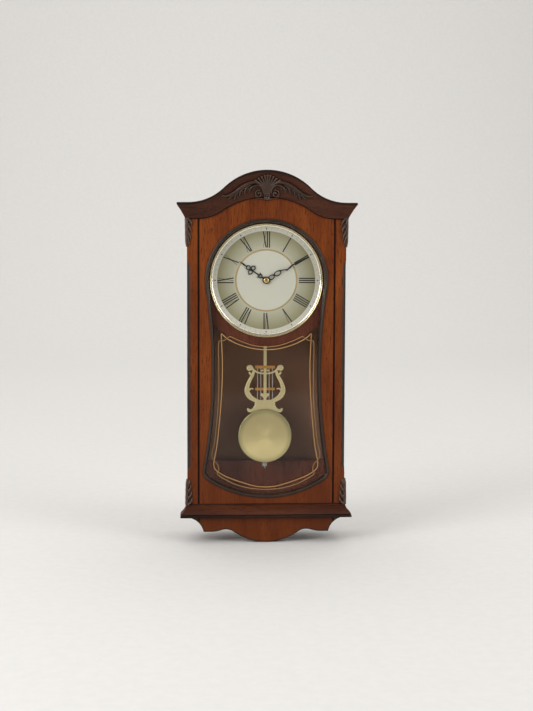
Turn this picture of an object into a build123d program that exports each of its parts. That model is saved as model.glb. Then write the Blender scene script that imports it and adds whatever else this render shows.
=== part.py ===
from build123d import *
import os
from math import cos, hypot, pi, radians, sin, sqrt

# A wooden wall clock with a lyre pendulum, in millimetres.
# The wall is the plane y = 0 and the clock's front looks along -Y. +Z is up.
# The origin is the centre of the keyhole hanger's round entry hole.
# A drawing "in (x, z)" is a front view; slab() gives it its depth in y.

# ---------------------------------------------------------------- driving dimensions
CASE_HALF = 144.5          # outer faces of the side panels
FRONT = -105.0             # face of the front panel and stiles
BOARD = 12.0               # thickness of the case boards
CASE_TOP = 30.0
CASE_BOTTOM = -533.0
JOINT_X = 123.7            # where the front panel meets the stiles
GROOVE = 1.25              # half-width and depth of the V-groove along that joint

CROWN_WING = 42.2          # flat top of the crown at its tips
CROWN_RISE = 58.2          # how far the middle of the crown stands above the wings
CROWN_LIP = 4.5
CROWN_OUT = 18.5           # overhang of the crown beyond the case
CROWN_FOOT = 14.0          # lower edge of the crown at its tips
CROWN_FOOT_RISE = 39.0
CROWN_FOOT_OUT = 3.5
CROWN_HOLLOW = 0.24        # how much the crown's cove bends inwards
CROWN_FOOT_X = 125.0       # half-width of the crown's lower curve
CROWN_TOP_R = 112.0        # radius of the crown's round top
CROWN_UNDER_R = 145.0      # and of the curve below it, at the panel
BASE_TOP = -510.0
BASE_TOP_OUT = 2.0
BASE_LIP_TOP = -528.0
BASE_OUT = 13.0
BASE_HOLLOW = 0.8
RETURN_DEPTH = 20.0        # the base's side returns stop this far behind the face
COVE_STEPS = 6
OGEE_FOOT_X = 142.6        # where the crown's bell curve runs into its flat wing
BOARDS_TOP = 40.0          # top of the stiles and of the panel's wings

DIAL_Z = -98.6             # height of the hands' axis
OPENING_R = 112.0          # round top of the opening, measured over its moulding
WAIST_HALF = 99.4
WAIST_Z = -265.0
OPENING_BOTTOM_Z = -498.1
OPENING_BOTTOM_R = 190.0
OPENING_CORNER_R = 19.0
BEAD = 4.5                 # width of the moulding's bead on the panel
MOULDING = 6.4             # full width of the moulding
GLASS_FRONT = -98.0
GLASS = 2.5
RABBET_INSET = 0.8         # edge of the rabbet that the glass sits in

MASK_FRONT = -93.0
MASK = 3.0
DIAL_FRONT = -90.0
DIAL_HOLE_R = 101.0
BEZEL_R = 104.2
SWEEP_R = 139.0            # curve of the mask board's lower edge
SWEEP_Z = -80.0

MOVEMENT_FRONT = -87.0
COVER_FRONT = -64.0
COVER_BACK = -62.5
MOVEMENT_HALF = 32.0
MOVEMENT_TOP = -68.6
MOVEMENT_BOTTOM = -154.6
WALL = 1.5
ARBOR_GAP = 12.0           # centre distance of the motion work
MINUTE_BORE_R = 1.5
HOUR_TUBE_R = 2.5
RUNNING = 0.08             # radial clearance of a turning fit

PIVOT_Z = -125.0
ROD_BACK = -59.0
SHEET = 1.2                # thickness of the pendulum's stamped brass
ROD_HALF = 2.8
ROD_HOLE_Z = -156.0
ROD_END_Z = -311.9
BOB_R = 50.0
BOB_Z = -389.4
BOB_BACK = -59.4
STUD_Y = -55.4
STUD_R = 1.5
NUT_TOP = -440.0
NUT_BOTTOM = -447.0
NUT_R = 4.4

BACK_FRONT = -6.0          # front and rear faces of the back panel
BACK_REAR = -3.0
RABBET = 6.0
DOOR_HALF = 55.0
DOOR_TOP = -55.0
DOOR_BOTTOM = -170.0
HINGE_Y = -1.5
KNUCKLE_R = 1.4
HINGE_PIN_R = 0.7
HINGE_HEIGHTS = (-78.0, -147.0)
KNUCKLE = 8.0

KEYHOLE_R = 5.0
KEYHOLE_SLOT = 4.6
KEYHOLE_RISE = 11.0
SCREW_R = 1.4
SCREW_HEAD_R = 3.0
SCREW_HEAD = 1.6
SCREW_SLOT = 0.7           # width and depth of the driver slot

INSIDE = CASE_HALF - BOARD
PANEL_BACK = FRONT + BOARD


# ---------------------------------------------------------------- drawing helpers
def box(x0, x1, y0, y1, z0, z1):
    middle = Pos((x0 + x1) / 2, (y0 + y1) / 2, (z0 + z1) / 2)
    return middle * Box(x1 - x0, y1 - y0, z1 - z0)


def slab(drawing, y0, y1):
    """A front view drawn in (x, z), given depth from y0 (behind) forward to y1."""
    placed = Plane.XZ.offset(-y0) * drawing
    return extrude(placed, y0 - y1, dir=(0, -1, 0))


def disc(radius, x, z, y0, y1):
    return slab(Pos(x, z) * Circle(radius), y0, y1)


def tube(outer, inner, x, z, y0, y1):
    return slab(Pos(x, z) * (Circle(outer) - Circle(inner)), y0, y1)


def turned(points, x, z):
    """A solid turned about a line along Y through (x, z), from (radius, y) points."""
    face = make_face(Polyline(*points, close=True))
    axis = Axis((x, 0, z), (0, 1, 0))
    return revolve(Pos(x, 0, z) * face, axis, 360)


def arc_about(centre, start, end):
    """The shorter arc from start to end about centre."""
    radius = hypot(start[0] - centre[0], start[1] - centre[1])
    dx = start[0] + end[0] - 2 * centre[0]
    dy = start[1] + end[1] - 2 * centre[1]
    reach = radius / hypot(dx, dy)
    middle = (centre[0] + dx * reach, centre[1] + dy * reach)
    return ThreePointArc(start, middle, end)


def towards(start, end, distance):
    """The point at a distance from start on the line through end."""
    whole = hypot(end[0] - start[0], end[1] - start[1])
    share = distance / whole
    return (start[0] + (end[0] - start[0]) * share, start[1] + (end[1] - start[1]) * share)


def flip(point):
    return (-point[0], point[1])


def both_sides(pieces):
    """Faces the outline made of right-hand pieces and their mirror image.

    Each piece is (centre, start, end); a straight piece has None for its centre."""
    edges = []
    for centre, start, end in pieces:
        if centre is None:
            edges.append(Line(start, end))
            edges.append(Line(flip(start), flip(end)))
        else:
            edges.append(arc_about(centre, start, end))
            edges.append(arc_about(flip(centre), flip(start), flip(end)))
    return make_face(edges)


def mirrored(shape):
    return mirror(shape, about=Plane.YZ)


def group(shapes):
    """Separate solids kept in one node."""
    return Compound([solid for shape in shapes for solid in shape.solids()])


def cut_all(shape, tools):
    for tool in tools:
        shape = shape - tool
    return shape


# ---------------------------------------------------------------- curves of the case
def ogee(foot_x, foot_z, rise, top_r):
    """Right half of a bell curve: two arcs, peak on the centre line, flat at the foot."""
    foot_r = (foot_x**2 + rise**2) / (2 * rise) - top_r
    top_centre = (0, foot_z + rise - top_r)
    foot_centre = (foot_x, foot_z + foot_r)
    joint = towards(top_centre, foot_centre, top_r)
    peak = (0, foot_z + rise)
    foot = (foot_x, foot_z)
    return [(top_centre, peak, joint), (foot_centre, joint, foot)]


def crown_top_curve(drop=0.0):
    return ogee(OGEE_FOOT_X, CROWN_WING - drop, CROWN_RISE, CROWN_TOP_R - drop)


def cove(share, out0, out1, hollow):
    """How far a cove stands out at a share of its height; hollow bends it inwards."""
    return out0 + (out1 - out0) * (share - hollow * share * (1 - share))


def crown_slice(out, share):
    """Right half of the crown's section parallel to the front, out from the case."""
    foot_z = CROWN_FOOT + (CROWN_WING - CROWN_LIP - CROWN_FOOT) * share
    foot_x = CROWN_FOOT_X + (OGEE_FOOT_X - CROWN_FOOT_X) * share
    rise = CROWN_FOOT_RISE + (CROWN_RISE - CROWN_FOOT_RISE) * share
    top_r = CROWN_UNDER_R + (CROWN_TOP_R + CROWN_LIP - CROWN_UNDER_R) * share
    tip = CASE_HALF + out
    lower = ogee(foot_x, foot_z, rise, top_r)
    upper = crown_top_curve()
    edges = [arc_about(*piece) for piece in lower + upper]
    edges.append(Line((foot_x, foot_z), (tip, foot_z)))
    edges.append(Line((tip, foot_z), (tip, CROWN_WING)))
    edges.append(Line((tip, CROWN_WING), (OGEE_FOOT_X, CROWN_WING)))
    edges.append(Line(lower[0][1], upper[0][1]))
    return Plane.XZ.offset(-(FRONT - out)) * make_face(edges)


def crown_profile():
    """(out, share) of the crown's slices, from the case face to the lip."""
    slices = [(0.0, 0.0)]
    for step in range(COVE_STEPS + 1):
        share = step / COVE_STEPS
        slices.append((cove(share, CROWN_FOOT_OUT, CROWN_OUT, CROWN_HOLLOW), share))
    return slices


def crown_moulding():
    sections = [crown_slice(out, share) for out, share in crown_profile()]
    half = loft(sections, ruled=True)
    return half + mirrored(half)


def side_slice(out, z0, z1, y_back=0.0):
    """Upright rectangle of a side return, parallel to the side of the case."""
    x = CASE_HALF + out
    corners = [(x, y_back, z0), (x, FRONT - out, z0), (x, FRONT - out, z1), (x, y_back, z1)]
    return make_face(Polyline(*corners, close=True))


def crown_returns():
    sections = []
    for out, share in crown_profile():
        foot_z = CROWN_FOOT + (CROWN_WING - CROWN_LIP - CROWN_FOOT) * share
        sections.append(side_slice(out, foot_z, CROWN_WING))
    right = loft(sections, ruled=True)
    return group([mirrored(right), right])


def base_profile():
    """(out, top z) of the base moulding's slices, from the case face to the lip."""
    slices = [(0.0, BASE_TOP)]
    for step in range(COVE_STEPS + 1):
        share = step / COVE_STEPS
        out = cove(share, BASE_TOP_OUT, BASE_OUT, BASE_HOLLOW)
        slices.append((out, BASE_TOP + (BASE_LIP_TOP - BASE_TOP) * share))
    return slices


def base_moulding():
    sections = []
    for out, top in base_profile():
        x = CASE_HALF + out
        y = FRONT - out
        corners = [(-x, y, CASE_BOTTOM), (x, y, CASE_BOTTOM), (x, y, top), (-x, y, top)]
        sections.append(make_face(Polyline(*corners, close=True)))
    return loft(sections, ruled=True)


def base_returns():
    """Short mitred ends of the base moulding on the sides of the case."""
    y_back = FRONT + RETURN_DEPTH
    sections = [side_slice(out, CASE_BOTTOM, top, y_back) for out, top in base_profile()]
    right = loft(sections, ruled=True)
    return group([mirrored(right), right])


# ---------------------------------------------------------------- opening
SIDE_R = (WAIST_HALF**2 + (DIAL_Z - WAIST_Z) ** 2 - OPENING_R**2) / (2 * (OPENING_R - WAIST_HALF))


def side_x(z):
    """Half-width of the opening's outline along its long hollow sides."""
    return WAIST_HALF + SIDE_R - sqrt(SIDE_R**2 - (z - WAIST_Z) ** 2)


def opening_outline(inset):
    """The opening's outline, moved in from the outer edge of its moulding."""
    top = (0, DIAL_Z)
    side = (WAIST_HALF + SIDE_R, WAIST_Z)
    bottom = (0, OPENING_BOTTOM_Z + OPENING_BOTTOM_R)
    # The corner's centre lies where two circles about the side and bottom centres cross.
    to_side = SIDE_R + OPENING_CORNER_R
    to_bottom = OPENING_BOTTOM_R - OPENING_CORNER_R
    apart = hypot(side[0], side[1] - bottom[1])
    along = (to_bottom**2 - to_side**2 + apart**2) / (2 * apart)
    off = sqrt(to_bottom**2 - along**2)
    foot = towards(bottom, side, along)
    ux = (side[0] - bottom[0]) / apart
    uz = (side[1] - bottom[1]) / apart
    corner = (foot[0] + off * uz, foot[1] - off * ux)
    p1 = towards(top, side, OPENING_R - inset)
    p2 = towards(side, corner, SIDE_R + inset)
    p3 = towards(bottom, corner, OPENING_BOTTOM_R - inset)
    pieces = [
        (top, (0, DIAL_Z + OPENING_R - inset), p1),
        (side, p1, p2),
        (corner, p2, p3),
        (bottom, p3, (0, OPENING_BOTTOM_Z + inset)),
    ]
    return both_sides(pieces)


BEAD_STEP = 0.9            # the bead's crest is this much narrower on each side
BEAD_SHOULDER = 1.0        # height of its shoulders over the panel
BEAD_CREST = 2.2


def opening_moulding():
    shoulder, crest = FRONT - BEAD_SHOULDER, FRONT - BEAD_CREST
    bead = slab(opening_outline(0.0) - opening_outline(BEAD), FRONT, shoulder)
    top = slab(opening_outline(BEAD_STEP) - opening_outline(BEAD - BEAD_STEP), shoulder, crest)
    lining = slab(opening_outline(BEAD) - opening_outline(MOULDING), GLASS_FRONT, shoulder)
    return bead + top + lining


GLASS_PLAY = 0.4


def glass_pane():
    return slab(opening_outline(RABBET_INSET + GLASS_PLAY), GLASS_FRONT + GLASS, GLASS_FRONT)


# ---------------------------------------------------------------- screws
SCREW_LONG, SCREW_SHORT = 9.0, 3.2
SCREW_POINT = 2.0
SCREW_CROWN_R = 2.1        # flat top of the pan head
BORE_PLAY = 0.05


def wood_screw(x, z, under, direction, length=SCREW_LONG):
    """A pan-head screw along Y; direction is -1 when it is driven towards the front."""
    outer = under - direction * SCREW_HEAD
    tip = under + direction * length
    profile = [(0, outer), (SCREW_CROWN_R, outer), (SCREW_HEAD_R, under), (SCREW_R, under)]
    profile += [(SCREW_R, tip - direction * SCREW_POINT), (0, tip)]
    y0, y1 = sorted((outer, outer + direction * SCREW_SLOT))
    half = SCREW_SLOT / 2
    return turned(profile, x, z) - box(x - SCREW_HEAD_R, x + SCREW_HEAD_R, y0, y1, z - half, z + half)


CLIP_HEIGHTS = (-300.0, -410.0)
CLIP_HALF = 6.0
CLIP_REACH = 3.2           # how far a clip reaches over the glass
CLIP_TAIL = 9.0
CLIP_HOLE = 5.0            # its screw, measured from the rabbet
CLIP = 0.8


def glass_clips():
    """Spring clips on the back of the panel whose bent ends hold the glass."""
    clips = []
    glass_back, clip_back = GLASS_FRONT + GLASS, PANEL_BACK + CLIP
    for z in CLIP_HEIGHTS:
        edge = side_x(z) - RABBET_INSET
        tip = edge - CLIP_REACH
        plate = box(tip, edge + CLIP_TAIL, PANEL_BACK, clip_back, z - CLIP_HALF, z + CLIP_HALF)
        finger = box(tip, tip + CLIP, glass_back, clip_back, z - CLIP_HALF, z + CLIP_HALF)
        hole = disc(SCREW_R + BORE_PLAY, edge + CLIP_HOLE, z, clip_back, PANEL_BACK)
        clip = plate + finger - hole
        clips += [clip, mirrored(clip)]
    edge = OPENING_BOTTOM_Z + RABBET_INSET
    tip = edge + CLIP_REACH
    plate = box(-CLIP_HALF, CLIP_HALF, PANEL_BACK, clip_back, edge - CLIP_TAIL, tip)
    finger = box(-CLIP_HALF, CLIP_HALF, glass_back, clip_back, tip - CLIP, tip)
    hole = disc(SCREW_R + BORE_PLAY, 0, edge - CLIP_HOLE, clip_back, PANEL_BACK)
    clips.append(plate + finger - hole)
    return group(clips)


def clip_screws():
    head = PANEL_BACK + CLIP
    screws = [wood_screw(0, OPENING_BOTTOM_Z + RABBET_INSET - CLIP_HOLE, head, -1)]
    for z in CLIP_HEIGHTS:
        x = side_x(z) - RABBET_INSET + CLIP_HOLE
        screws += [wood_screw(side * x, z, head, -1) for side in (-1, 1)]
    return screws


MASK_SCREW_X = 112.0
MASK_SCREW_HEIGHTS = (8.0, -158.0)
BACK_SCREW_X = 135.5
BACK_SCREW_HEIGHTS = (-30.0, -200.0, -350.0)
RAIL_SCREW_Z = -470.0
RAIL_SCREW_PLACES = (-90.0, 0.0, 90.0)


def mask_screws():
    places = [(side * MASK_SCREW_X, z) for side in (-1, 1) for z in MASK_SCREW_HEIGHTS]
    return [wood_screw(x, z, MASK_FRONT + MASK, -1) for x, z in places]


def back_screws():
    places = [(side * BACK_SCREW_X, z) for side in (-1, 1) for z in BACK_SCREW_HEIGHTS]
    places += [(x, RAIL_SCREW_Z) for x in RAIL_SCREW_PLACES]
    return [wood_screw(x, z, BACK_REAR, -1) for x, z in places]


HANGER_SCREW_X, HANGER_SCREW_Z = 22.0, 4.0
COUNTERSINK_R, COUNTERSINK = 3.4, 1.5
HANGER_SCREW_R = 1.6
HANGER_SCREW_LONG = 14.0
HANGER_SLOT, HANGER_SLOT_DEPTH = 0.8, 0.6


def hanger_screws():
    """Countersunk screws, flush with the hanger plate."""
    shank_end = SCREW_POINT - HANGER_SCREW_LONG
    profile = [(0, 0), (COUNTERSINK_R, 0), (HANGER_SCREW_R, -COUNTERSINK),
               (HANGER_SCREW_R, shank_end), (0, -HANGER_SCREW_LONG)]
    screws = []
    for x in (-HANGER_SCREW_X, HANGER_SCREW_X):
        slot = box(x - COUNTERSINK_R, x + COUNTERSINK_R, -HANGER_SLOT_DEPTH, 0,
                   HANGER_SCREW_Z - HANGER_SLOT / 2, HANGER_SCREW_Z + HANGER_SLOT / 2)
        screws.append(turned(profile, x, HANGER_SCREW_Z) - slot)
    return screws


# ---------------------------------------------------------------- case boards
def chamfer_section(reach):
    """Triangle cut off the front right corner of the case, seen from above."""
    tip = (CASE_HALF + 1, FRONT - 1)
    points = [(CASE_HALF - reach, FRONT - 1), tip, (CASE_HALF + 1, FRONT + reach)]
    slope = [(CASE_HALF - reach, FRONT), (CASE_HALF, FRONT + reach)]
    return make_face(Polyline(points[0], points[1], points[2], slope[1], slope[0], close=True))


CHAMFER = 6.0
CHAMFER_TOP = -60.0
CHAMFER_END = 12.0
CHAMFER_BOTTOM = -450.0
CHAMFER_THIN = 0.4         # what is left of it at its very ends
BEAD_BULGE = 1.0


def chamfer_cutter():
    """A stopped chamfer that runs out in a sloped end at top and bottom."""
    z0 = CHAMFER_BOTTOM + CHAMFER_END
    z1 = CHAMFER_TOP - CHAMFER_END
    straight = extrude(Pos(0, 0, z0) * chamfer_section(CHAMFER), z1 - z0, dir=(0, 0, 1))
    wide = chamfer_section(CHAMFER)
    thin = chamfer_section(CHAMFER_THIN)
    upper = loft([Pos(0, 0, z1) * wide, Pos(0, 0, CHAMFER_TOP) * thin], ruled=True)
    lower = loft([Pos(0, 0, CHAMFER_BOTTOM) * thin, Pos(0, 0, z0) * wide], ruled=True)
    return straight + upper + lower


def corner_beads():
    """Shallow rounded strips, stained dark, glued along the chamfers."""
    a = (CASE_HALF - CHAMFER, FRONT)
    b = (CASE_HALF, FRONT + CHAMFER)
    crown = (CASE_HALF - CHAMFER / 2 + BEAD_BULGE, FRONT + CHAMFER / 2 - BEAD_BULGE)
    face = make_face([ThreePointArc(a, crown, b), Line(b, a)])
    z0 = CHAMFER_BOTTOM + CHAMFER_END
    length = CHAMFER_TOP - CHAMFER_END - z0
    right = extrude(Pos(0, 0, z0) * face, length, dir=(0, 0, 1))
    return group([mirrored(right), right])


def right_stile():
    body = box(JOINT_X, CASE_HALF, FRONT, PANEL_BACK, CASE_BOTTOM, BOARDS_TOP)
    return body - chamfer_cutter() - joint_groove(JOINT_X)


def right_side_panel():
    body = box(INSIDE, CASE_HALF, PANEL_BACK, 0, CASE_BOTTOM, CASE_TOP)
    rabbet = box(INSIDE, INSIDE + RABBET, BACK_FRONT, 0, CASE_BOTTOM, RAIL_BOTTOM)
    return cut_all(body - rabbet, back_screws())


def joint_groove(x):
    """Tool for the V-groove that hides the joint of the panel and a stile."""
    notch = make_face(Polyline((-GROOVE, 0), (0, GROOVE), (GROOVE, 0), close=True))
    line = Plane((x, FRONT, CASE_BOTTOM))
    return extrude(line * notch, BOARDS_TOP - CASE_BOTTOM, dir=(0, 0, 1))


def front_panel():
    """One board whose top follows the crown, 2 mm below the crown's own edge."""
    foot = (OGEE_FOOT_X, BOARDS_TOP)
    low_foot = (OGEE_FOOT_X, CASE_BOTTOM)
    pieces = crown_top_curve(CROWN_WING - BOARDS_TOP)
    pieces += [(None, foot, low_foot), (None, low_foot, (0, CASE_BOTTOM))]
    middle = Pos(0, CASE_BOTTOM / 2) * Rectangle(2 * JOINT_X, -2 * CASE_BOTTOM)
    face = both_sides(pieces) & middle
    panel = slab(face, PANEL_BACK, FRONT) - slab(opening_outline(BEAD), PANEL_BACK, FRONT)
    panel = panel - slab(opening_outline(RABBET_INSET), PANEL_BACK, GLASS_FRONT)
    panel = panel - joint_groove(-JOINT_X) - joint_groove(JOINT_X)
    return cut_all(panel, clip_screws() + mask_screws())


STRIP_IN = 121.5           # inner edge of the glue strips
STRIP_DEPTH = 9.0
STRIP_BOTTOM, STRIP_TOP = -522.0, 26.0
BLOCK_PLACES = (-100.0, 0.0, 100.0)
BLOCK_HALF, BLOCK_DEPTH, BLOCK_HEIGHT = 18.0, 16.0, 12.0
APRON_FRONT = -108.0
APRON_BACK = -96.0


def glue_blocks():
    """Softwood strips that tie the panel to the sides and the apron to the base."""
    strip = box(STRIP_IN, INSIDE, PANEL_BACK, PANEL_BACK + STRIP_DEPTH, STRIP_BOTTOM, STRIP_TOP)
    blocks = [mirrored(strip), strip]
    for x in BLOCK_PLACES:
        blocks.append(box(x - BLOCK_HALF, x + BLOCK_HALF, APRON_BACK, APRON_BACK + BLOCK_DEPTH,
                          CASE_BOTTOM - BLOCK_HEIGHT, CASE_BOTTOM))
    return group(blocks)


TOP_BOARD = 6.0
BOTTOM_BOARD = 8.0


def top_board():
    return box(-CASE_HALF, CASE_HALF, PANEL_BACK, 0, CASE_TOP, CASE_TOP + TOP_BOARD)


def bottom_board():
    return box(-INSIDE, INSIDE, PANEL_BACK, BACK_FRONT, CASE_BOTTOM, CASE_BOTTOM + BOTTOM_BOARD)


APRON_END_X = 148.0
APRON_HOLLOW_R, APRON_HOLLOW_Z = 34.0, -567.0
APRON_SPUR_X, APRON_SPUR_Z = 114.7, -560.0
APRON_SWELL_X, APRON_SWELL_Z, APRON_SWELL_R = 100.0, -505.0, 55.0
APRON_CREST_X, APRON_CREST_Z = 74.0, -581.36
APRON_BELLY_R = 100.0
APRON_LOW = -579.8


def apron():
    """Shaped board below the base moulding, with scrolled ends and a round middle."""
    end = (APRON_END_X, CASE_BOTTOM)
    hollow_centre = (APRON_END_X, APRON_HOLLOW_Z)
    spur = (APRON_SPUR_X, APRON_SPUR_Z)
    inner = (APRON_SWELL_X, APRON_SPUR_Z)
    swell_centre = (APRON_SWELL_X, APRON_SWELL_Z)
    crest_centre = (APRON_CREST_X, APRON_CREST_Z)
    belly_centre = (0.0, APRON_LOW + APRON_BELLY_R)
    start = towards(hollow_centre, end, APRON_HOLLOW_R)
    swell_end = towards(swell_centre, crest_centre, APRON_SWELL_R)
    belly_start = towards(belly_centre, crest_centre, APRON_BELLY_R)
    pieces = [
        (None, (0, CASE_BOTTOM), start),
        (hollow_centre, start, spur),
        (None, spur, inner),
        (swell_centre, inner, swell_end),
        (crest_centre, swell_end, belly_start),
        (belly_centre, belly_start, (0, APRON_LOW)),
    ]
    return slab(both_sides(pieces), APRON_BACK, APRON_FRONT)


RAIL = 18.0
RAIL_BOTTOM = -18.0
PLATE_HALF, PLATE_LOW, PLATE_HIGH = 30.0, -10.0, 18.0
PLATE = 1.5
POCKET_HALF, POCKET_DEPTH = 9.0, 12.0
POCKET_LOW, POCKET_HIGH = -8.0, 16.0
LOWER_RAIL = 25.0
LOWER_RAIL_TOP = -442.0
PANEL_PLAY = 0.3
PANEL_LIFT = 6.0
PANEL_TOP = -18.4
MAGNET_R, MAGNET_X = 5.0, 62.0
CATCH_Z = DIAL_Z - 14.0


def top_back_rail():
    rail = box(-INSIDE, INSIDE, -RAIL, 0, RAIL_BOTTOM, CASE_TOP)
    recess = box(-PLATE_HALF, PLATE_HALF, -PLATE, 0, PLATE_LOW, PLATE_HIGH)
    pocket = box(-POCKET_HALF, POCKET_HALF, -POCKET_DEPTH, -PLATE, POCKET_LOW, POCKET_HIGH)
    return cut_all(rail - recess - pocket, hanger_screws())


def hanger_plate():
    """Steel keyhole plate: the screw head enters the round hole and rides up the slot."""
    plate = box(-PLATE_HALF, PLATE_HALF, -PLATE, 0, PLATE_LOW, PLATE_HIGH)
    slot = Pos(0, KEYHOLE_RISE / 2) * Rectangle(KEYHOLE_SLOT, KEYHOLE_RISE)
    slot_end = Pos(0, KEYHOLE_RISE) * Circle(KEYHOLE_SLOT / 2)
    keyhole = slab(Circle(KEYHOLE_R) + slot + slot_end, 0, -PLATE)
    return cut_all(plate - keyhole, hanger_screws())


def lower_back_rail():
    foot = CASE_BOTTOM + BOTTOM_BOARD
    return cut_all(box(-INSIDE, INSIDE, -LOWER_RAIL, BACK_FRONT, foot, LOWER_RAIL_TOP), back_screws())


def back_panel():
    edge = INSIDE + RABBET - PANEL_PLAY
    panel = box(-edge, edge, BACK_FRONT, BACK_REAR, CASE_BOTTOM + PANEL_LIFT, PANEL_TOP)
    doorway = box(-DOOR_HALF, DOOR_HALF, BACK_FRONT, BACK_REAR, DOOR_BOTTOM, DOOR_TOP)
    return cut_all(panel - doorway - catch_magnet(), back_screws())


def catch_magnet():
    return disc(MAGNET_R, MAGNET_X, CATCH_Z, BACK_REAR, BACK_FRONT)


# ---------------------------------------------------------------- rear door
def knuckle(z0, z1, bore):
    ring = Circle(KNUCKLE_R) - Circle(bore)
    placed = Pos(-DOOR_HALF, HINGE_Y, z0) * ring
    return extrude(placed, z1 - z0, dir=(0, 0, 1))


LEAF = 0.6                 # thickness of a hinge leaf
LEAF_WIDE, LEAF_HALF = 12.0, 12.0
LEAF_GAP = 1.7             # from the pin's axis to a leaf's edge
ARM_LAP = 0.1              # overlap of a leaf and the arm of its knuckle
KNUCKLE_GAP = 0.15


def hinge_frame_leaves():
    """Fixed leaves with an upper and a lower knuckle each."""
    leaves = []
    y0, y1 = BACK_REAR, BACK_REAR + LEAF
    for z in HINGE_HEIGHTS:
        leaf = box(-DOOR_HALF - LEAF_WIDE, -DOOR_HALF - LEAF_GAP, y0, y1, z - LEAF_HALF, z + LEAF_HALF)
        for z0 in (z - 1.5 * KNUCKLE, z + 0.5 * KNUCKLE):
            arm = box(-DOOR_HALF - LEAF_GAP - ARM_LAP, -DOOR_HALF, y0, y1, z0, z0 + KNUCKLE)
            ring = knuckle(z0, z0 + KNUCKLE, HINGE_PIN_R)
            bore = Pos(-DOOR_HALF, HINGE_Y, z0 + KNUCKLE / 2) * Cylinder(HINGE_PIN_R, KNUCKLE)
            leaf = leaf + (arm - bore) + ring
        leaves.append(leaf)
    return group(leaves)


def hinge_pins():
    pins = []
    for z in HINGE_HEIGHTS:
        pins.append(Pos(-DOOR_HALF, HINGE_Y, z) * Cylinder(HINGE_PIN_R, 3 * KNUCKLE))
    return group(pins)


def hinge_door_leaves():
    """Moving leaves with the middle knuckle."""
    leaves = []
    y0, y1 = BACK_REAR, BACK_REAR + LEAF
    bore_r = HINGE_PIN_R + BORE_PLAY
    for z in HINGE_HEIGHTS:
        z0 = z - KNUCKLE / 2 + KNUCKLE_GAP
        z1 = z + KNUCKLE / 2 - KNUCKLE_GAP
        leaf = box(-DOOR_HALF + LEAF_GAP, -DOOR_HALF + LEAF_WIDE, y0, y1, z - LEAF_HALF, z + LEAF_HALF)
        arm = box(-DOOR_HALF, -DOOR_HALF + LEAF_GAP + ARM_LAP, y0, y1, z0, z1)
        bore = Pos(-DOOR_HALF, HINGE_Y, z) * Cylinder(bore_r, KNUCKLE)
        leaves.append(leaf + (arm - bore) + knuckle(z0, z1, bore_r))
    return group(leaves)


DOOR_GAP = 0.8
TAB_X, TAB_WIDE, TAB_HIGH, TAB_R, TAB = 57.0, 26.0, 14.0, 5.0, 1.0


def rear_door():
    edge = DOOR_HALF - DOOR_GAP
    return box(-edge, edge, BACK_FRONT, BACK_REAR, DOOR_BOTTOM + DOOR_GAP, DOOR_TOP - DOOR_GAP)


def door_tab():
    """Steel tab on the door that lies over the magnet and gives the finger a hold."""
    outline = Pos(TAB_X, CATCH_Z) * RectangleRounded(TAB_WIDE, TAB_HIGH, TAB_R)
    return slab(outline, BACK_REAR + TAB, BACK_REAR)


# ---------------------------------------------------------------- dial
MASK_HALF, MASK_TOP = 120.0, 20.0
MASK_TURN_X = 106.0        # where the mask's swept lower edge ends
DIAL_R, DIAL_CENTRE_R, DIAL = 108.0, 4.2, 1.0
DIAL_SCREW_R = 104.5       # radius of the ring of dial screws


def dial_mask_board():
    low = SWEEP_Z - sqrt(SWEEP_R**2 - MASK_TURN_X**2)
    pieces = [
        (None, (0, MASK_TOP), (MASK_HALF, MASK_TOP)),
        (None, (MASK_HALF, MASK_TOP), (MASK_HALF, low)),
        (None, (MASK_HALF, low), (MASK_TURN_X, low)),
        ((0, SWEEP_Z), (MASK_TURN_X, low), (0, SWEEP_Z - SWEEP_R)),
    ]
    outline = both_sides(pieces) - Pos(0, DIAL_Z) * Circle(DIAL_HOLE_R)
    return cut_all(slab(outline, DIAL_FRONT, MASK_FRONT), mask_screws() + dial_screws())


def dial_plate():
    plate = tube(DIAL_R, DIAL_CENTRE_R, 0, DIAL_Z, DIAL_FRONT + DIAL, DIAL_FRONT)
    return cut_all(plate, dial_screws())


def dial_screws():
    screws = []
    for turn in (45, 135, 225, 315):
        x, z = DIAL_SCREW_R * cos(radians(turn)), DIAL_Z + DIAL_SCREW_R * sin(radians(turn))
        screws.append(wood_screw(x, z, DIAL_FRONT + DIAL, -1, SCREW_SHORT))
    return screws


def dial_bezel():
    profile = [
        (BEZEL_R, MASK_FRONT), (BEZEL_R, -94.3), (103.2, -94.9), (101.6, -95.1), (100.4, -94.6),
        (98.6, -92.6), (97.6, -90.3), (98.4, -90.3),
        (DIAL_HOLE_R - 0.3, -92.6), (DIAL_HOLE_R - 0.3, MASK_FRONT),
    ]
    return turned(profile, 0, DIAL_Z)


# ---------------------------------------------------------------- movement
BAY_RIGHT = -15.0          # right wall of the battery bay
BAY_FLOOR = -128.0
DIVIDER = 1.0
SHELF = 1.5
NOSE_R, NOSE_FRONT = 4.0, -91.4
NUT_HEX_R, NUT_FRONT = 6.2, -91.2
WASHER_R, WASHER_BORE_R = 12.0, 4.1
PIN_R = 1.0                # arbors and pins of the movement
BEARING_R, BEARING_FRONT = 3.0, -67.0


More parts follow.
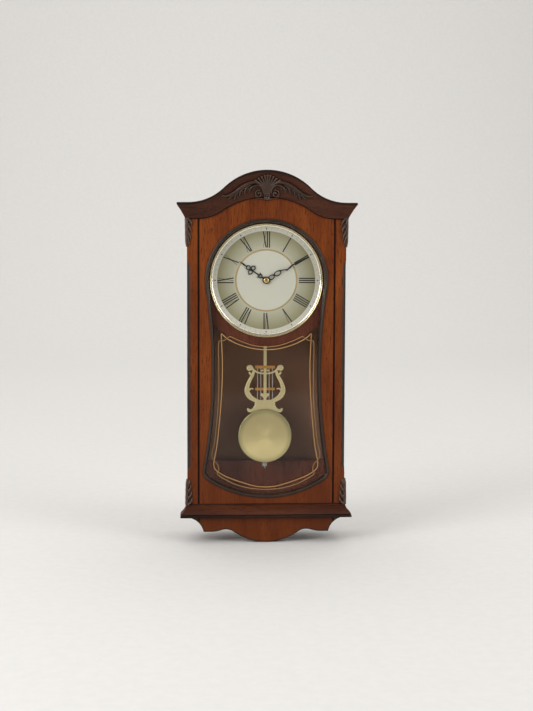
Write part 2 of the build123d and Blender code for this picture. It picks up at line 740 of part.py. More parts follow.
def movement_housing():
    outer = box(-MOVEMENT_HALF, MOVEMENT_HALF, MOVEMENT_FRONT, COVER_FRONT, MOVEMENT_BOTTOM, MOVEMENT_TOP)
    left, floor, roof = -MOVEMENT_HALF + WALL, MOVEMENT_FRONT + WALL, MOVEMENT_TOP - WALL
    inner = box(left, MOVEMENT_HALF - WALL, floor, COVER_FRONT, MOVEMENT_BOTTOM + WALL, roof)
    divider = box(BAY_RIGHT - DIVIDER, BAY_RIGHT, floor, COVER_FRONT, BAY_FLOOR, roof)
    shelf = box(left, BAY_RIGHT, floor, COVER_FRONT, BAY_FLOOR - SHELF, BAY_FLOOR)
    nose = disc(NOSE_R, 0, DIAL_Z, MOVEMENT_FRONT, NOSE_FRONT)
    bore = disc(HOUR_TUBE_R + RUNNING, 0, DIAL_Z, floor, NOSE_FRONT)
    return outer - inner + divider + shelf + nose - bore


def movement_nut():
    """Brass hexagon nut that clamps the dial against the movement."""
    hexagon = Pos(0, DIAL_Z) * (RegularPolygon(NUT_HEX_R, 6) - Circle(NOSE_R))
    return slab(hexagon, DIAL_FRONT, NUT_FRONT)


def movement_washer():
    return tube(WASHER_R, WASHER_BORE_R, 0, DIAL_Z, MOVEMENT_FRONT, DIAL_FRONT + DIAL)


def movement_cover():
    plate = box(-MOVEMENT_HALF, MOVEMENT_HALF, COVER_FRONT, COVER_BACK, MOVEMENT_BOTTOM, MOVEMENT_TOP)
    window = box(-MOVEMENT_HALF + WALL, BAY_RIGHT - DIVIDER, COVER_FRONT, COVER_BACK,
                 BAY_FLOOR, MOVEMENT_TOP - WALL)
    knob_hole = disc(PIN_R + RUNNING, ARBOR_GAP, DIAL_Z, COVER_BACK, COVER_FRONT)
    pin_hole = disc(PIN_R, 0, PIVOT_Z, COVER_BACK, COVER_FRONT)
    bearing = tube(BEARING_R, MINUTE_BORE_R + RUNNING, 0, DIAL_Z, COVER_FRONT, BEARING_FRONT)
    return plate - window - knob_hole - pin_hole + bearing


CELL_X, CELL_Y, CELL_Z = -23.3, -72.5, -98.9
CELL_R, CELL = 7.05, 49.5
CELL_TIP_R, CELL_TIP, CELL_TIP_Z = 2.7, 1.1, -73.6
CONTACT_SIDES = (-28.0, -18.0, -78.0, -67.0)
UPPER_CONTACT, LOWER_CONTACT = (-73.05, -72.35), (-124.6, -123.9)


def battery():
    """One AA cell."""
    body = Pos(CELL_X, CELL_Y, CELL_Z) * Cylinder(CELL_R, CELL)
    return body + Pos(CELL_X, CELL_Y, CELL_TIP_Z) * Cylinder(CELL_TIP_R, CELL_TIP)


def battery_contacts():
    return group([box(*CONTACT_SIDES, *UPPER_CONTACT), box(*CONTACT_SIDES, *LOWER_CONTACT)])


BOARD_EDGES = (-13.0, 29.0, -85.4, -84.2, -151.0, -112.0)
CORE_EDGES = (8.0, 29.0, -79.5, -76.5, -124.0, -118.0)
WINDING_EDGES = (12.0, 25.0, -83.2, -72.8, -127.0, -115.0)
DRIVE_Z = -138.0           # height of the drive coil and of the magnet that passes it
DRIVE_COIL_R, DRIVE_COIL_BORE_R = 7.0, 2.5
DRIVE_COIL_FRONT, COIL_GAP = -71.0, 0.2


def circuit_board():
    return box(*BOARD_EDGES)


def drive_coils():
    """The stepper's coil and the coil that keeps the pendulum swinging."""
    ring = tube(DRIVE_COIL_R, DRIVE_COIL_BORE_R, 0, DRIVE_Z, COVER_FRONT - COIL_GAP, DRIVE_COIL_FRONT)
    return group([box(*CORE_EDGES) + box(*WINDING_EDGES), ring])


PIVOT_END = -56.8
COLLAR_R, COLLAR_BACK, COLLAR_FRONT = 2.4, -56.9, -57.6


def pivot_pin():
    """The pendulum's pin with its retaining collar, pressed into the movement cover."""
    pin = disc(PIN_R, 0, PIVOT_Z, PIVOT_END, COVER_FRONT)
    return pin + tube(COLLAR_R, PIN_R, 0, PIVOT_Z, COLLAR_BACK, COLLAR_FRONT)


TOOTH_GAP = 0.12           # a tooth's tip ends this far inside the pitch circle
TOOTH_ROOT = 0.9
TOOTH_SHARE = 0.8          # width of a tooth, as a share of half the pitch
TOOTH_LAP = 0.4            # how deep a tooth is rooted in its wheel


def gear(teeth, pitch_r, x, y0, y1, bore, turn=0.0):
    """A spur wheel whose teeth end just inside the pitch circle, so pairs never bind."""
    tip_r = pitch_r - TOOTH_GAP
    root_r = pitch_r - TOOTH_ROOT
    wide, long = pi * pitch_r / teeth * TOOTH_SHARE, tip_r - root_r + TOOTH_LAP
    blank = Circle(root_r)
    for number in range(teeth):
        tooth = Pos((root_r + tip_r - TOOTH_LAP) / 2, 0) * Rectangle(long, wide)
        blank = blank + Rot(0, 0, 360.0 * number / teeth + turn) * tooth
    return slab(Pos(x, DIAL_Z) * (blank - Circle(bore)), y1, y0)


HOUR_WHEEL_Y = (-83.4, -82.0)
HOUR_SLEEVE_Y = (-81.6, -92.4)
MINUTE_PINION_Y = (-79.0, -76.0)
MINUTE_SHAFT_Y = (-65.0, -94.0)
MIDDLE_WHEEL_Y = (-78.6, -77.2)
MIDDLE_PINION_Y = (-84.0, -81.8)
MIDDLE_ARBOR_Y = (-60.0, -85.0)
WHEEL_BORE_R = 0.5
MESH_TURN = 5.0            # sets the middle wheel's teeth between the pinion's


def hour_wheel():
    bore = MINUTE_BORE_R + RUNNING
    return tube(HOUR_TUBE_R, bore, 0, DIAL_Z, *HOUR_SLEEVE_Y) + gear(40, 9.6, 0, *HOUR_WHEEL_Y, bore)


def minute_arbor():
    pinion = gear(12, 3.0, 0, *MINUTE_PINION_Y, WHEEL_BORE_R)
    return disc(MINUTE_BORE_R, 0, DIAL_Z, *MINUTE_SHAFT_Y) + pinion


def intermediate_wheel():
    arbor = disc(PIN_R, ARBOR_GAP, DIAL_Z, *MIDDLE_ARBOR_Y)
    wheel = gear(36, 9.0, ARBOR_GAP, *MIDDLE_WHEEL_Y, WHEEL_BORE_R, MESH_TURN)
    return arbor + wheel + gear(10, 2.4, ARBOR_GAP, *MIDDLE_PINION_Y, WHEEL_BORE_R)


KNOB_R, KNOB_RIBS, KNOB_RIB_R = 6.2, 18, 0.55
KNOB_BACK, KNOB_FRONT = -57.2, -62.0


def setting_knob():
    grip = Circle(KNOB_R)
    for rib in range(KNOB_RIBS):
        grip = grip + Rot(0, 0, 360 / KNOB_RIBS * rib) * Pos(KNOB_R, 0) * Circle(KNOB_RIB_R)
    knob = slab(Pos(ARBOR_GAP, DIAL_Z) * grip, KNOB_BACK, KNOB_FRONT)
    return knob - disc(PIN_R, ARBOR_GAP, DIAL_Z, MIDDLE_ARBOR_Y[0], KNOB_FRONT)


# ---------------------------------------------------------------- hands
HOUR_HAND_Y = (-91.6, -92.1)
MINUTE_HAND_Y = (-93.0, -93.5)
HOUR_SHOWN, MINUTE_SHOWN = -55, 60      # degrees clockwise from upright: about ten past ten
HOUR_HUB_R, MINUTE_HUB_R = 5.0, 6.8
HOUR_REACH, MINUTE_REACH = 59.5, 90.0
SIDE_RING_X, SIDE_RING_Z, TOP_RING_Z = 4.3, 32.8, 40.6
RING_OUT, RING_IN = 4.2, 2.7


def hand_blade(turn, y, hub_r, bore, parts):
    """A hand drawn pointing up about the origin, then turned clockwise by turn degrees."""
    drawing = Circle(hub_r)
    for piece in parts:
        drawing = drawing + piece
    drawing = drawing - Circle(bore)
    return slab(Pos(0, DIAL_Z) * Rot(0, 0, -turn) * drawing, y[0], y[1])


def ring(r_out, r_in, x, y):
    return Pos(x, y) * (Circle(r_out) - Circle(r_in))


def stem(y0, y1, half0, half1):
    return make_face(Polyline((-half0, y0), (half0, y0), (half1, y1), (-half1, y1), close=True))


def hour_hand():
    """Hub, small ring, stem, three open rings in a trefoil and a spear tip."""
    parts = [stem(4, 12, 1.8, 1.2), ring(3.9, 2.3, 0, 13.6), stem(16.5, 37.5, 1.4, 1.2)]
    parts += [ring(RING_OUT, RING_IN, side * SIDE_RING_X, SIDE_RING_Z) for side in (-1, 1)]
    parts += [ring(RING_OUT, RING_IN, 0, TOP_RING_Z), stem(43.5, 50, 1.2, 1.8)]
    parts.append(stem(50, HOUR_REACH, 1.8, 0.4))
    return hand_blade(HOUR_SHOWN, HOUR_HAND_Y, HOUR_HUB_R, HOUR_TUBE_R, parts)


def minute_hand():
    """Hub, two pairs of open loops and a long fine stem."""
    parts = [stem(5, 20, 1.6, 1.1), stem(34, MINUTE_REACH, 1.2, 0.45)]
    for side in (-1, 1):
        parts.append(Pos(side * 2.5, 15.5) * (Ellipse(2.9, 7.0) - Ellipse(1.7, 5.6)))
        parts.append(Pos(side * 2.1, 28.5) * (Ellipse(2.5, 7.0) - Ellipse(1.4, 5.6)))
    return hand_blade(MINUTE_SHOWN, MINUTE_HAND_Y, MINUTE_HUB_R, MINUTE_BORE_R, parts)


def hand_nut():
    """Domed brass cap that holds the minute hand."""
    seat = MINUTE_HAND_Y[1]
    profile = [(0, -94.9), (2.4, -94.7), (4.2, -94.1), (5.0, seat), (MINUTE_BORE_R, seat),
               (MINUTE_BORE_R, -94.0), (0, -94.0)]
    return turned(profile, 0, DIAL_Z)


# ---------------------------------------------------------------- pendulum
HANGER_HALF, HANGER_LOW, HANGER_ABOVE = 5.0, -162.0, 4.0
HUB_R, HUB = 3.2, 1.6
HOOK_R, HOOK_PROUD = 1.6, 0.8
PASS_MAGNET_R, PASS_MAGNET = 4.5, 2.8
EYE_R = 4.0


def pendulum_hanger():
    """Plastic arm that turns on the pin, with the drive magnet and the hook for the rod."""
    rear = ROD_BACK + SHEET
    body = box(-HANGER_HALF, HANGER_HALF, ROD_BACK, rear, HANGER_LOW, PIVOT_Z + HANGER_ABOVE)
    hub = disc(HUB_R, 0, PIVOT_Z, rear, ROD_BACK - HUB)
    hook = disc(HOOK_R, 0, ROD_HOLE_Z, ROD_BACK, ROD_BACK - SHEET - HOOK_PROUD)
    magnet = disc(PASS_MAGNET_R, 0, DRIVE_Z, ROD_BACK, ROD_BACK - PASS_MAGNET)
    bore = disc(PIN_R + RUNNING, 0, PIVOT_Z, rear, ROD_BACK - HUB)
    return body + hub + hook + magnet - bore


def pendulum_rod():
    front = ROD_BACK - SHEET
    strip = box(-ROD_HALF, ROD_HALF, front, ROD_BACK, ROD_END_Z, ROD_HOLE_Z + EYE_R + 1)
    eye = disc(EYE_R, 0, ROD_HOLE_Z, ROD_BACK, front)
    return strip + eye - disc(HOOK_R, 0, ROD_HOLE_Z, ROD_BACK, front)


def crescent(outer, inner):
    """Closed outline from two three-point curves that share no points."""
    edges = [ThreePointArc(*outer), ThreePointArc(*inner)]
    edges.append(Line(outer[0], inner[0]))
    edges.append(Line(outer[2], inner[2]))
    return make_face(edges)


def lyre_half():
    """Right half of the lyre plate's drawing, in (x, z)."""
    upper_arm = crescent(
        ((18.4, -270.0), (28.6, -285.4), (35.6, -298.0)), ((14.6, -272.6), (23.0, -286.0), (29.0, -298.0))
    )
    lower_arm = crescent(
        ((35.5, -297.5), (36.4, -311.5), (22.3, -326.0)), ((28.9, -297.5), (26.6, -312.5), (12.0, -322.0))
    )
    swag = crescent(
        ((25.5, -258.0), (14.5, -269.8), (-0.1, -274.8)), ((23.0, -256.6), (12.8, -267.2), (-0.1, -271.8))
    )
    scroll = Pos(29.2, -262.6) * (Circle(6.4) - Circle(1.6) - Pos(-1.5, -5.2) * Rectangle(9, 5))
    spur = Pos(25.6, -272.4) * Circle(2.0) + Pos(23.0, -273.0) * Rectangle(6, 1.8)
    inner_spur = Pos(22.6, -301.6) * Circle(1.3) + Pos(26.0, -302.2) * Rectangle(7.0, 1.8)
    throat = make_face([
        Line((-0.1, -322.2), (12.2, -321.8)),
        Line((12.2, -321.8), (22.5, -325.8)),
        ThreePointArc((22.5, -325.8), (20.4, -331.0), (23.4, -337.0)),
        Line((23.4, -337.0), (23.4, -347.0)),
        Line((23.4, -347.0), (-0.1, -347.0)),
        Line((-0.1, -347.0), (-0.1, -322.2)),
    ])
    foot = Pos(26.4, -343.0) * Rectangle(8, 7.0) + Pos(30.0, -343.0) * Circle(3.5)
    stalk = Pos(1.2, -317.0) * Rectangle(2.6, 12) + Pos(4.4, -313.0) * (Circle(3.2) - Circle(1.2))
    tongue = Pos(4.0, -372.0) * Rectangle(8.2, 52)
    drawing = upper_arm
    for piece in (lower_arm, swag, scroll, spur, inner_spur, throat, foot, stalk, tongue):
        drawing = drawing + piece
    return drawing


def lyre_plate():
    right = slab(lyre_half(), ROD_BACK + SHEET, ROD_BACK)
    plate = right + mirrored(right)
    holes = [disc(RIVET_R, x, RIVET_Z, ROD_BACK + SHEET, ROD_BACK) for x in RIVET_PLACES]
    return cut_all(plate, holes)


RIVET_PLACES = (-11.4, 11.4)
RIVET_Z, RIVET_R, RIVET_HEAD_R, RIVET_HEAD = -337.8, 1.6, 2.2, 0.35
STRING_PLACES = (-13.9, -7.8, 7.8, 13.9)
STRING_Z, STRING_LONG = -292.0, 66.0
STRING_R = 0.9
STRING_Y = ROD_BACK + SHEET + STRING_R
BAR_HALF = 18.2
UPPER_BAR, LOWER_BAR = (-263.1, -257.9), (-304.1, -299.4)
BAR_PROUD = 1.0            # the upper bar stands this far in front of the rod
BOSS_PLACES, BOSS_HALF, BOSS = (-9.0, 9.0), 2.0, (-262.5, -258.5)


def lyre_strings():
    return group([Pos(x, STRING_Y, STRING_Z) * Cylinder(STRING_R, STRING_LONG) for x in STRING_PLACES])


def lyre_crossbars():
    """Upper bar in front of the lyre's arms, on two bosses, and lower bar between them."""
    front, rear = ROD_BACK - SHEET, ROD_BACK + SHEET
    upper = box(-BAR_HALF, BAR_HALF, front - BAR_PROUD, ROD_BACK, *UPPER_BAR)
    upper = upper - box(-ROD_HALF, ROD_HALF, front, ROD_BACK, *UPPER_BAR)
    for x in BOSS_PLACES:
        upper = upper + box(x - BOSS_HALF, x + BOSS_HALF, ROD_BACK, rear, *BOSS)
    return group([upper, box(-BAR_HALF, BAR_HALF, ROD_BACK, rear, *LOWER_BAR)])


def lyre_rivets():
    """Two rivets through the lyre's throat, which hold the bracket of the rating stud."""
    rivets = []
    for x in RIVET_PLACES:
        shank = disc(RIVET_R, x, RIVET_Z, ROD_BACK + SHEET, ROD_BACK)
        rivets.append(shank + disc(RIVET_HEAD_R, x, RIVET_Z, ROD_BACK, ROD_BACK - RIVET_HEAD))
    return group(rivets)


STUD_BLOCK_HALF, STUD_WALL = 4.0, 2.2
STUD_BLOCK = (-398.0, -386.0)
STUD_Z, STUD_LONG = -424.0, 54.0


def rating_stud():
    """Threaded rod below a block on the lyre's tongue."""
    block = box(-STUD_BLOCK_HALF, STUD_BLOCK_HALF, ROD_BACK + SHEET, STUD_Y + STUD_WALL, *STUD_BLOCK)
    return block + Pos(0, STUD_Y, STUD_Z) * Cylinder(STUD_R, STUD_LONG)


BOB_SHEET = 0.8
GUIDE_HALF, GUIDE_WALL, GUIDE = 4.5, 3.4, 12.0
NUT_GAP = 0.02


def bob_face():
    """Spun brass shell, slightly domed, with a rolled rim."""
    outer = [(0, -67.0), (15, -66.7), (30, -65.8), (42, -64.3), (48, -62.9), (BOB_R, -61.4),
             (BOB_R, BOB_BACK)]
    rim = BOB_R - BOB_SHEET
    inner = [(rim, BOB_BACK), (rim, -61.2), (47.4, -62.2), (41.6, -63.5), (30, -65.0), (15, -65.9),
             (0, -66.2)]
    return turned(outer + inner, 0, BOB_Z)


def bob_back():
    """Disc that closes the bob, with the guide block that sits on the rating nut."""
    plate = disc(BOB_R - BOB_SHEET, 0, BOB_Z, BOB_BACK, BOB_BACK - BOB_SHEET)
    guide = box(-GUIDE_HALF, GUIDE_HALF, BOB_BACK, STUD_Y + GUIDE_WALL, NUT_TOP + NUT_GAP, NUT_TOP + GUIDE)
    bore = Pos(0, STUD_Y, NUT_TOP + GUIDE / 2) * Cylinder(STUD_R + RUNNING, GUIDE + 2)
    return plate + guide - bore


NUT_RIBS, NUT_RIB_R = 16, 0.4


def rating_nut():
    root = NUT_R - NUT_RIB_R
    grip = Circle(root)
    for rib in range(NUT_RIBS):
        grip = grip + Rot(0, 0, 360 / NUT_RIBS * rib) * Pos(root, 0) * Circle(NUT_RIB_R)
    ring_face = Pos(0, STUD_Y, NUT_BOTTOM) * (grip - Circle(STUD_R + RUNNING))
    return extrude(ring_face, NUT_TOP - NUT_BOTTOM, dir=(0, 0, 1))


# ---------------------------------------------------------------- carvings
def taper(start, end, r0, r1):
    """A rounded spike from start to end, both (x, out, z) with out in front of the panel."""
    p = Vector(start[0], FRONT - start[1], start[2])
    q = Vector(end[0], FRONT - end[1], end[2])
    along = q - p
    cone = Plane(p, z_dir=along) * Pos(0, 0, along.length / 2) * Cone(r0, r1, along.length)
    return cone + Pos(*q) * Sphere(r1)


SHELL_BASE_Z = 52.0
SHELL_LOBES = 9
SHELL_SPREAD = 120.0       # angle of the fan
SHELL_BASE = (20.0, 10.0, 14.0)
SHELL_LONG, SHELL_SHORTER = 35.0, 7.0   # length of the middle lobe, and how much the last loses
SHELL_ROOT_OUT, SHELL_TIP_OUT = 8.0, 16.0
SCROLL_X, SCROLL_Z, SCROLL_R, SCROLL_OUT = 15.3, 56.5, 8.3, 9.5


def shell_carving(crown):
    """Fan of lobes above two scrolls, its back cut to sit on the crown's hollow."""
    body = Pos(0, FRONT - SHELL_BASE[1] / 2, SHELL_BASE_Z) * Box(*SHELL_BASE)
    for lobe in range(SHELL_LOBES):
        turn = radians(SHELL_SPREAD * (lobe / (SHELL_LOBES - 1) - 0.5))
        length = SHELL_LONG - SHELL_SHORTER * abs(sin(turn))
        tip = (length * sin(turn), SHELL_TIP_OUT, SHELL_BASE_Z + length * cos(turn))
        root = (3 * sin(turn), SHELL_ROOT_OUT, SHELL_BASE_Z)
        body = body + taper(root, tip, 1.6, 3.4)
    for x in (-SCROLL_X, SCROLL_X):
        scroll = disc(SCROLL_R, x, SCROLL_Z, FRONT, FRONT - SCROLL_OUT)
        groove = tube(SCROLL_R - 2, 3.2, x, SCROLL_Z, FRONT - SCROLL_OUT + 3, FRONT - SCROLL_OUT)
        body = body + (scroll - groove)
    return body - crown


def leaf_carving(crown):
    """Right-hand spray of leaves that runs down the crown's hollow."""
    spine = [(17, 14.0, 77), (33, 13.5, 79), (48, 13.0, 73), (61, 12.0, 64), (73, 11.0, 54), (84, 11.0, 50.5)]
    body = taper(spine[0], spine[1], 4.0, 4.2)
    for start, end in zip(spine[1:], spine[2:]):
        body = body + taper(start, end, 4.0, 3.4)
    tips = [(30, 8.0, 62), (42, 8.0, 57), (55, 8.0, 50), (68, 8.0, 44)]
    for start, end in zip(spine[1:], tips):
        body = body + taper(start, end, 4.0, 1.8)
    return body - crown


def scallops(height, wide, narrow, lobes):
    """Leaf edge in (x, z): straight side on x = 0, scalloped side to the left."""
    edges = [Line((0, 0), (0, -height)), Line((0, -height), (-narrow, -height)), Line((0, 0), (-wide, 0))]
    for lobe in range(lobes):
        z0 = -height * lobe / lobes
        z1 = -height * (lobe + 1) / lobes
        x0 = -wide + (wide - narrow) * lobe / lobes
        x1 = -wide + (wide - narrow) * (lobe + 1) / lobes
        middle = ((x0 + x1) / 2 - 1.0, (z0 + z1) / 2)
        edges.append(ThreePointArc((x0, z0), middle, (x1, z1)))
    return make_face(edges)


def corner_carving(height):
    """Carved leaf wrapped round the front right corner, hanging from z = 0."""
    thick = 3.5
    leaf = scallops(height, 13.0, 8.0, 4)
    front = slab(Pos(CASE_HALF + thick, 0) * leaf, FRONT, FRONT - thick)
    side_plane = Plane((CASE_HALF, FRONT - thick, 0), x_dir=(0, -1, 0), z_dir=(-1, 0, 0))
    side = extrude(side_plane * leaf, thick, dir=(1, 0, 0))
    return front + side


def corner_carvings():
    upper = Pos(0, 0, CROWN_FOOT) * corner_carving(53.0)
    lower = Pos(0, 0, BASE_TOP) * mirror(corner_carving(49.0), about=Plane.XY)
    return group([shape for leaf in (upper, lower) for shape in (leaf, mirrored(leaf))])


# ---------------------------------------------------------------- output
def build():
    crown = crown_moulding()
    stile = right_stile()
    side = right_side_panel()
    leaf = leaf_carving(crown)
    shell = shell_carving(crown)
    leaf = leaf - shell
    screws = clip_screws() + mask_screws() + back_screws() + dial_screws() + hanger_screws()
    return {
        "right_side_panel": side,
        "left_side_panel": mirrored(side),
        "right_stile": stile,
        "left_stile": mirrored(stile),
        "corner_beads": corner_beads(),
        "front_panel": front_panel(),
        "glue_blocks": glue_blocks(),
        "top_board": top_board(),
        "bottom_board": bottom_board(),
        "opening_moulding": opening_moulding(),
        "glass_pane": glass_pane(),
        "glass_clips": glass_clips(),
        "case_screws": group(screws),
        "crown_moulding": crown,
        "crown_returns": crown_returns(),
        "base_moulding": base_moulding(),
        "base_returns": base_returns(),
        "apron": apron(),
        "shell_carving": shell,
        "leaf_carvings": group([mirrored(leaf), leaf]),
        "corner_carvings": corner_carvings(),
        "top_back_rail": top_back_rail(),
        "hanger_plate": hanger_plate(),
        "lower_back_rail": lower_back_rail(),
        "back_panel": back_panel(),
        "catch_magnet": catch_magnet(),
        "hinge_frame_leaves": hinge_frame_leaves(),
        "hinge_pins": hinge_pins(),
        "hinge_door_leaves": hinge_door_leaves(),
        "rear_door": rear_door(),
        "door_tab": door_tab(),
        "dial_mask_board": dial_mask_board(),
        "dial_plate": dial_plate(),
        "dial_bezel": dial_bezel(),
        "movement_housing": movement_housing(),
        "movement_nut": movement_nut(),
        "movement_washer": movement_washer(),
        "movement_cover": movement_cover(),
        "battery": battery(),
        "battery_contacts": battery_contacts(),
        "circuit_board": circuit_board(),
        "drive_coils": drive_coils(),
        "pivot_pin": pivot_pin(),
        "hour_hand": hour_hand(),
        "hour_wheel": hour_wheel(),
        "minute_hand": minute_hand(),
        "minute_arbor": minute_arbor(),
        "hand_nut": hand_nut(),
        "intermediate_wheel": intermediate_wheel(),
        "setting_knob": setting_knob(),
        "pendulum_hanger": pendulum_hanger(),
        "pendulum_rod": pendulum_rod(),
        "lyre_plate": lyre_plate(),
        "lyre_strings": lyre_strings(),
        "lyre_crossbars": lyre_crossbars(),
        "lyre_rivets": lyre_rivets(),
        "rating_stud": rating_stud(),
        "bob_face": bob_face(),
        "bob_back": bob_back(),
        "rating_nut": rating_nut(),
    }


os.makedirs("parts", exist_ok=True)
for node, shape in build().items():
    export_step(shape, f"parts/{node}.step")
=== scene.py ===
import bmesh
import bpy
import math
import numpy as np
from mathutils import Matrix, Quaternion, Vector


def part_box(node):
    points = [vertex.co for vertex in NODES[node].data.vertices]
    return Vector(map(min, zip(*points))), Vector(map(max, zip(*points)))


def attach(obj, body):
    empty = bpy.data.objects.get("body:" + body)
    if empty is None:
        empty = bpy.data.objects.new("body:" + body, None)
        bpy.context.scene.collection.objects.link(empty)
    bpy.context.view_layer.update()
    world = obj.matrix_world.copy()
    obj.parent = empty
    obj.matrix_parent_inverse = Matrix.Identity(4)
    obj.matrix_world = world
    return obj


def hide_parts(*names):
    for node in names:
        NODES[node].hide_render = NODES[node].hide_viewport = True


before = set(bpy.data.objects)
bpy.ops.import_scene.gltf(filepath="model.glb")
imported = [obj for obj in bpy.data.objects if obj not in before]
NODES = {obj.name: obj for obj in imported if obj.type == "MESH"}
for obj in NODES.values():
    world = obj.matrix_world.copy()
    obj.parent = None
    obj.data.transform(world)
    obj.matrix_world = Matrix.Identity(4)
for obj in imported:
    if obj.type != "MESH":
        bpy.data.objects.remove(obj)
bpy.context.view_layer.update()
MM = 0.001


def low(node):
    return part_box(node)[0]


def high(node):
    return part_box(node)[1]


# ---- sizes
# Places come from the frame. Shapes inside a piece are in metres, written as millimetres * MM.
CASE_HALF = high("right_side_panel").x
FRONT = low("front_panel").y

CROWN_LOW = low("crown_moulding").z
CROWN_PEAK = high("crown_moulding").z
CROWN_OUT = high("crown_moulding").x - CASE_HALF
CROWN_WING = high("crown_returns").z
CROWN_RISE = CROWN_PEAK - CROWN_WING
CROWN_LIP = 4.5 * MM
CROWN_FOOT_RISE = 39 * MM
CROWN_FOOT_OUT = 3.5 * MM
CROWN_HOLLOW = 0.24
CROWN_FOOT_X = 125 * MM
CROWN_TOP_R = 112 * MM
CROWN_UNDER_R = 145 * MM
OGEE_FOOT_X = 142.6 * MM
LIP_STEP = 0.9 * MM        # the lip stands this much in front of the cove's top
LIP_BULGE = 0.55           # depth of the lip's round nose, as a share of its half height
LIP_STEPS = 8
COVE_STEPS = 14
CROWN_COLUMNS = 180

BASE_TOP = high("base_moulding").z
BASE_BOTTOM = low("base_moulding").z
BASE_OUT = high("base_moulding").x - CASE_HALF
BASE_TOP_OUT = 2 * MM
BASE_HOLLOW = 0.8
BASE_LIP = 4.6 * MM
BASE_QUIRK = 1.3 * MM

DIAL_Z = (low("dial_plate").z + high("dial_plate").z) / 2
DIAL_FRONT = low("dial_plate").y
OPENING_R = 112 * MM
WAIST_HALF = 99.4 * MM
WAIST_Z = -265 * MM
OPENING_BOTTOM_Z = -498.1 * MM
OPENING_BOTTOM_R = 190 * MM
OPENING_CORNER_R = 19 * MM
BEAD = 4.5 * MM
BEAD_PROUD = 2.2 * MM
BEAD_HOLLOW = ((0, 0.9), (0.35, 1.1), (0.6, 0.7), (0.9, 1.4))    # mm inside the bead, mm deep
MOULDING = 6.4 * MM
GLASS_FRONT = low("glass_pane").y

BOB_Z = (low("bob_face").z + high("bob_face").z) / 2
BOB_R = (high("bob_face").z - low("bob_face").z) / 2
BOB_FRONT = low("bob_face").y
BOB_BACK = high("bob_face").y

FLOOR_Z = low("apron").z - 0.3 * MM


# ---- mesh helpers
def raw_mesh(name, points, faces):
    mesh = bpy.data.meshes.new(name)
    mesh.from_pydata([tuple(map(float, p)) for p in points], [], faces)
    return mesh


def add_piece(name, part, material, stands_for=(), body="case", angle=34):
    """Puts a part, its points and faces, into the scene as a piece that rides on a CAD body."""
    mesh = raw_mesh(name, *part)
    work = bmesh.new()
    work.from_mesh(mesh)
    bmesh.ops.remove_doubles(work, verts=work.verts, dist=1e-6)
    bmesh.ops.recalc_face_normals(work, faces=work.faces)
    work.to_mesh(mesh)
    work.free()
    for face in mesh.polygons:
        face.use_smooth = True
    mesh.set_sharp_from_angle(angle=math.radians(angle))
    mesh.materials.append(material)
    piece = bpy.data.objects.new(name, mesh)
    bpy.context.scene.collection.objects.link(piece)
    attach(piece, body)
    if stands_for:
        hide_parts(*stands_for)


def joined(parts):
    """One list of points and faces from several."""
    points, faces = [], []
    for part_points, part_faces in parts:
        start = len(points)
        points.extend(part_points)
        faces.extend([tuple(start + i for i in face) for face in part_faces])
    return points, faces


def skin(rings, round_trip=False):
    """Faces over rings of points; each ring is a closed loop. Ends are capped unless it closes."""
    count = len(rings[0])
    points = [point for ring in rings for point in ring]
    faces = []
    spans = len(rings) if round_trip else len(rings) - 1
    for i in range(spans):
        here, there = i * count, (i + 1) % len(rings) * count
        for j in range(count):
            k = (j + 1) % count
            faces.append((here + j, here + k, there + k, there + j))
    if not round_trip:
        faces.append(tuple(range(count)))
        faces.append(tuple(range((len(rings) - 1) * count, len(rings) * count)))
    return points, faces


def turned(profile, z, steps):
    """Points and faces of a closed (radius, y) profile turned about a line along Y."""
    spokes = arc(0, 2 * math.pi, steps)[:-1]
    rings = [[(r * c, y, z + r * s) for r, y in profile] for c, s in spokes]
    return skin(rings, round_trip=True)


def plate(outline, y0, y1):
    """Points and faces of an (x, z) outline with depth."""
    return skin([[(x, y0, z) for x, z in outline], [(x, y1, z) for x, z in outline]])


def arc(start, end, steps):
    """(cosine, sine) of evenly spaced angles from start to end, both included."""
    turns = [start + (end - start) * i / steps for i in range(steps + 1)]
    return [(math.cos(turn), math.sin(turn)) for turn in turns]


def with_normals(path):
    """(x, z, nx, nz) along a path of (x, z) points; the unit normal points to its left."""
    out, last = [], len(path) - 1
    for i, (x, z) in enumerate(path):
        x0, z0 = path[max(i - 1, 0)]
        x1, z1 = path[min(i + 1, last)]
        length = math.hypot(x1 - x0, z1 - z0) or 1
        out.append((x, z, -(z1 - z0) / length, (x1 - x0) / length))
    return out


def box_outline(foot, head, half, z0, z1):
    """A bar of some half-width from (foot, z0) to (head, z1)."""
    return [(foot - half, z0), (foot + half, z0), (head + half, z1), (head - half, z1)]


def mirrored(part):
    points, faces = part
    return [(-x, y, z) for x, y, z in points], [tuple(reversed(face)) for face in faces]


def smooth_path(points, steps=8):
    """A Catmull-Rom curve through points of any dimension, as tuples."""
    pts = [np.array(p, dtype=float) for p in points]
    path = []
    for i in range(len(pts) - 1):
        p1, p2 = pts[i], pts[i + 1]
        p0 = pts[i - 1] if i > 0 else 2 * p1 - p2
        p3 = pts[i + 2] if i + 2 < len(pts) else 2 * p2 - p1
        square, cube = 2 * p0 - 5 * p1 + 4 * p2 - p3, 3 * p1 - p0 - 3 * p2 + p3
        for k in range(steps):
            t = k / steps
            path.append(0.5 * (2 * p1 + (p2 - p0) * t + square * t * t + cube * t ** 3))
    return [tuple(point) for point in path + [pts[-1]]]


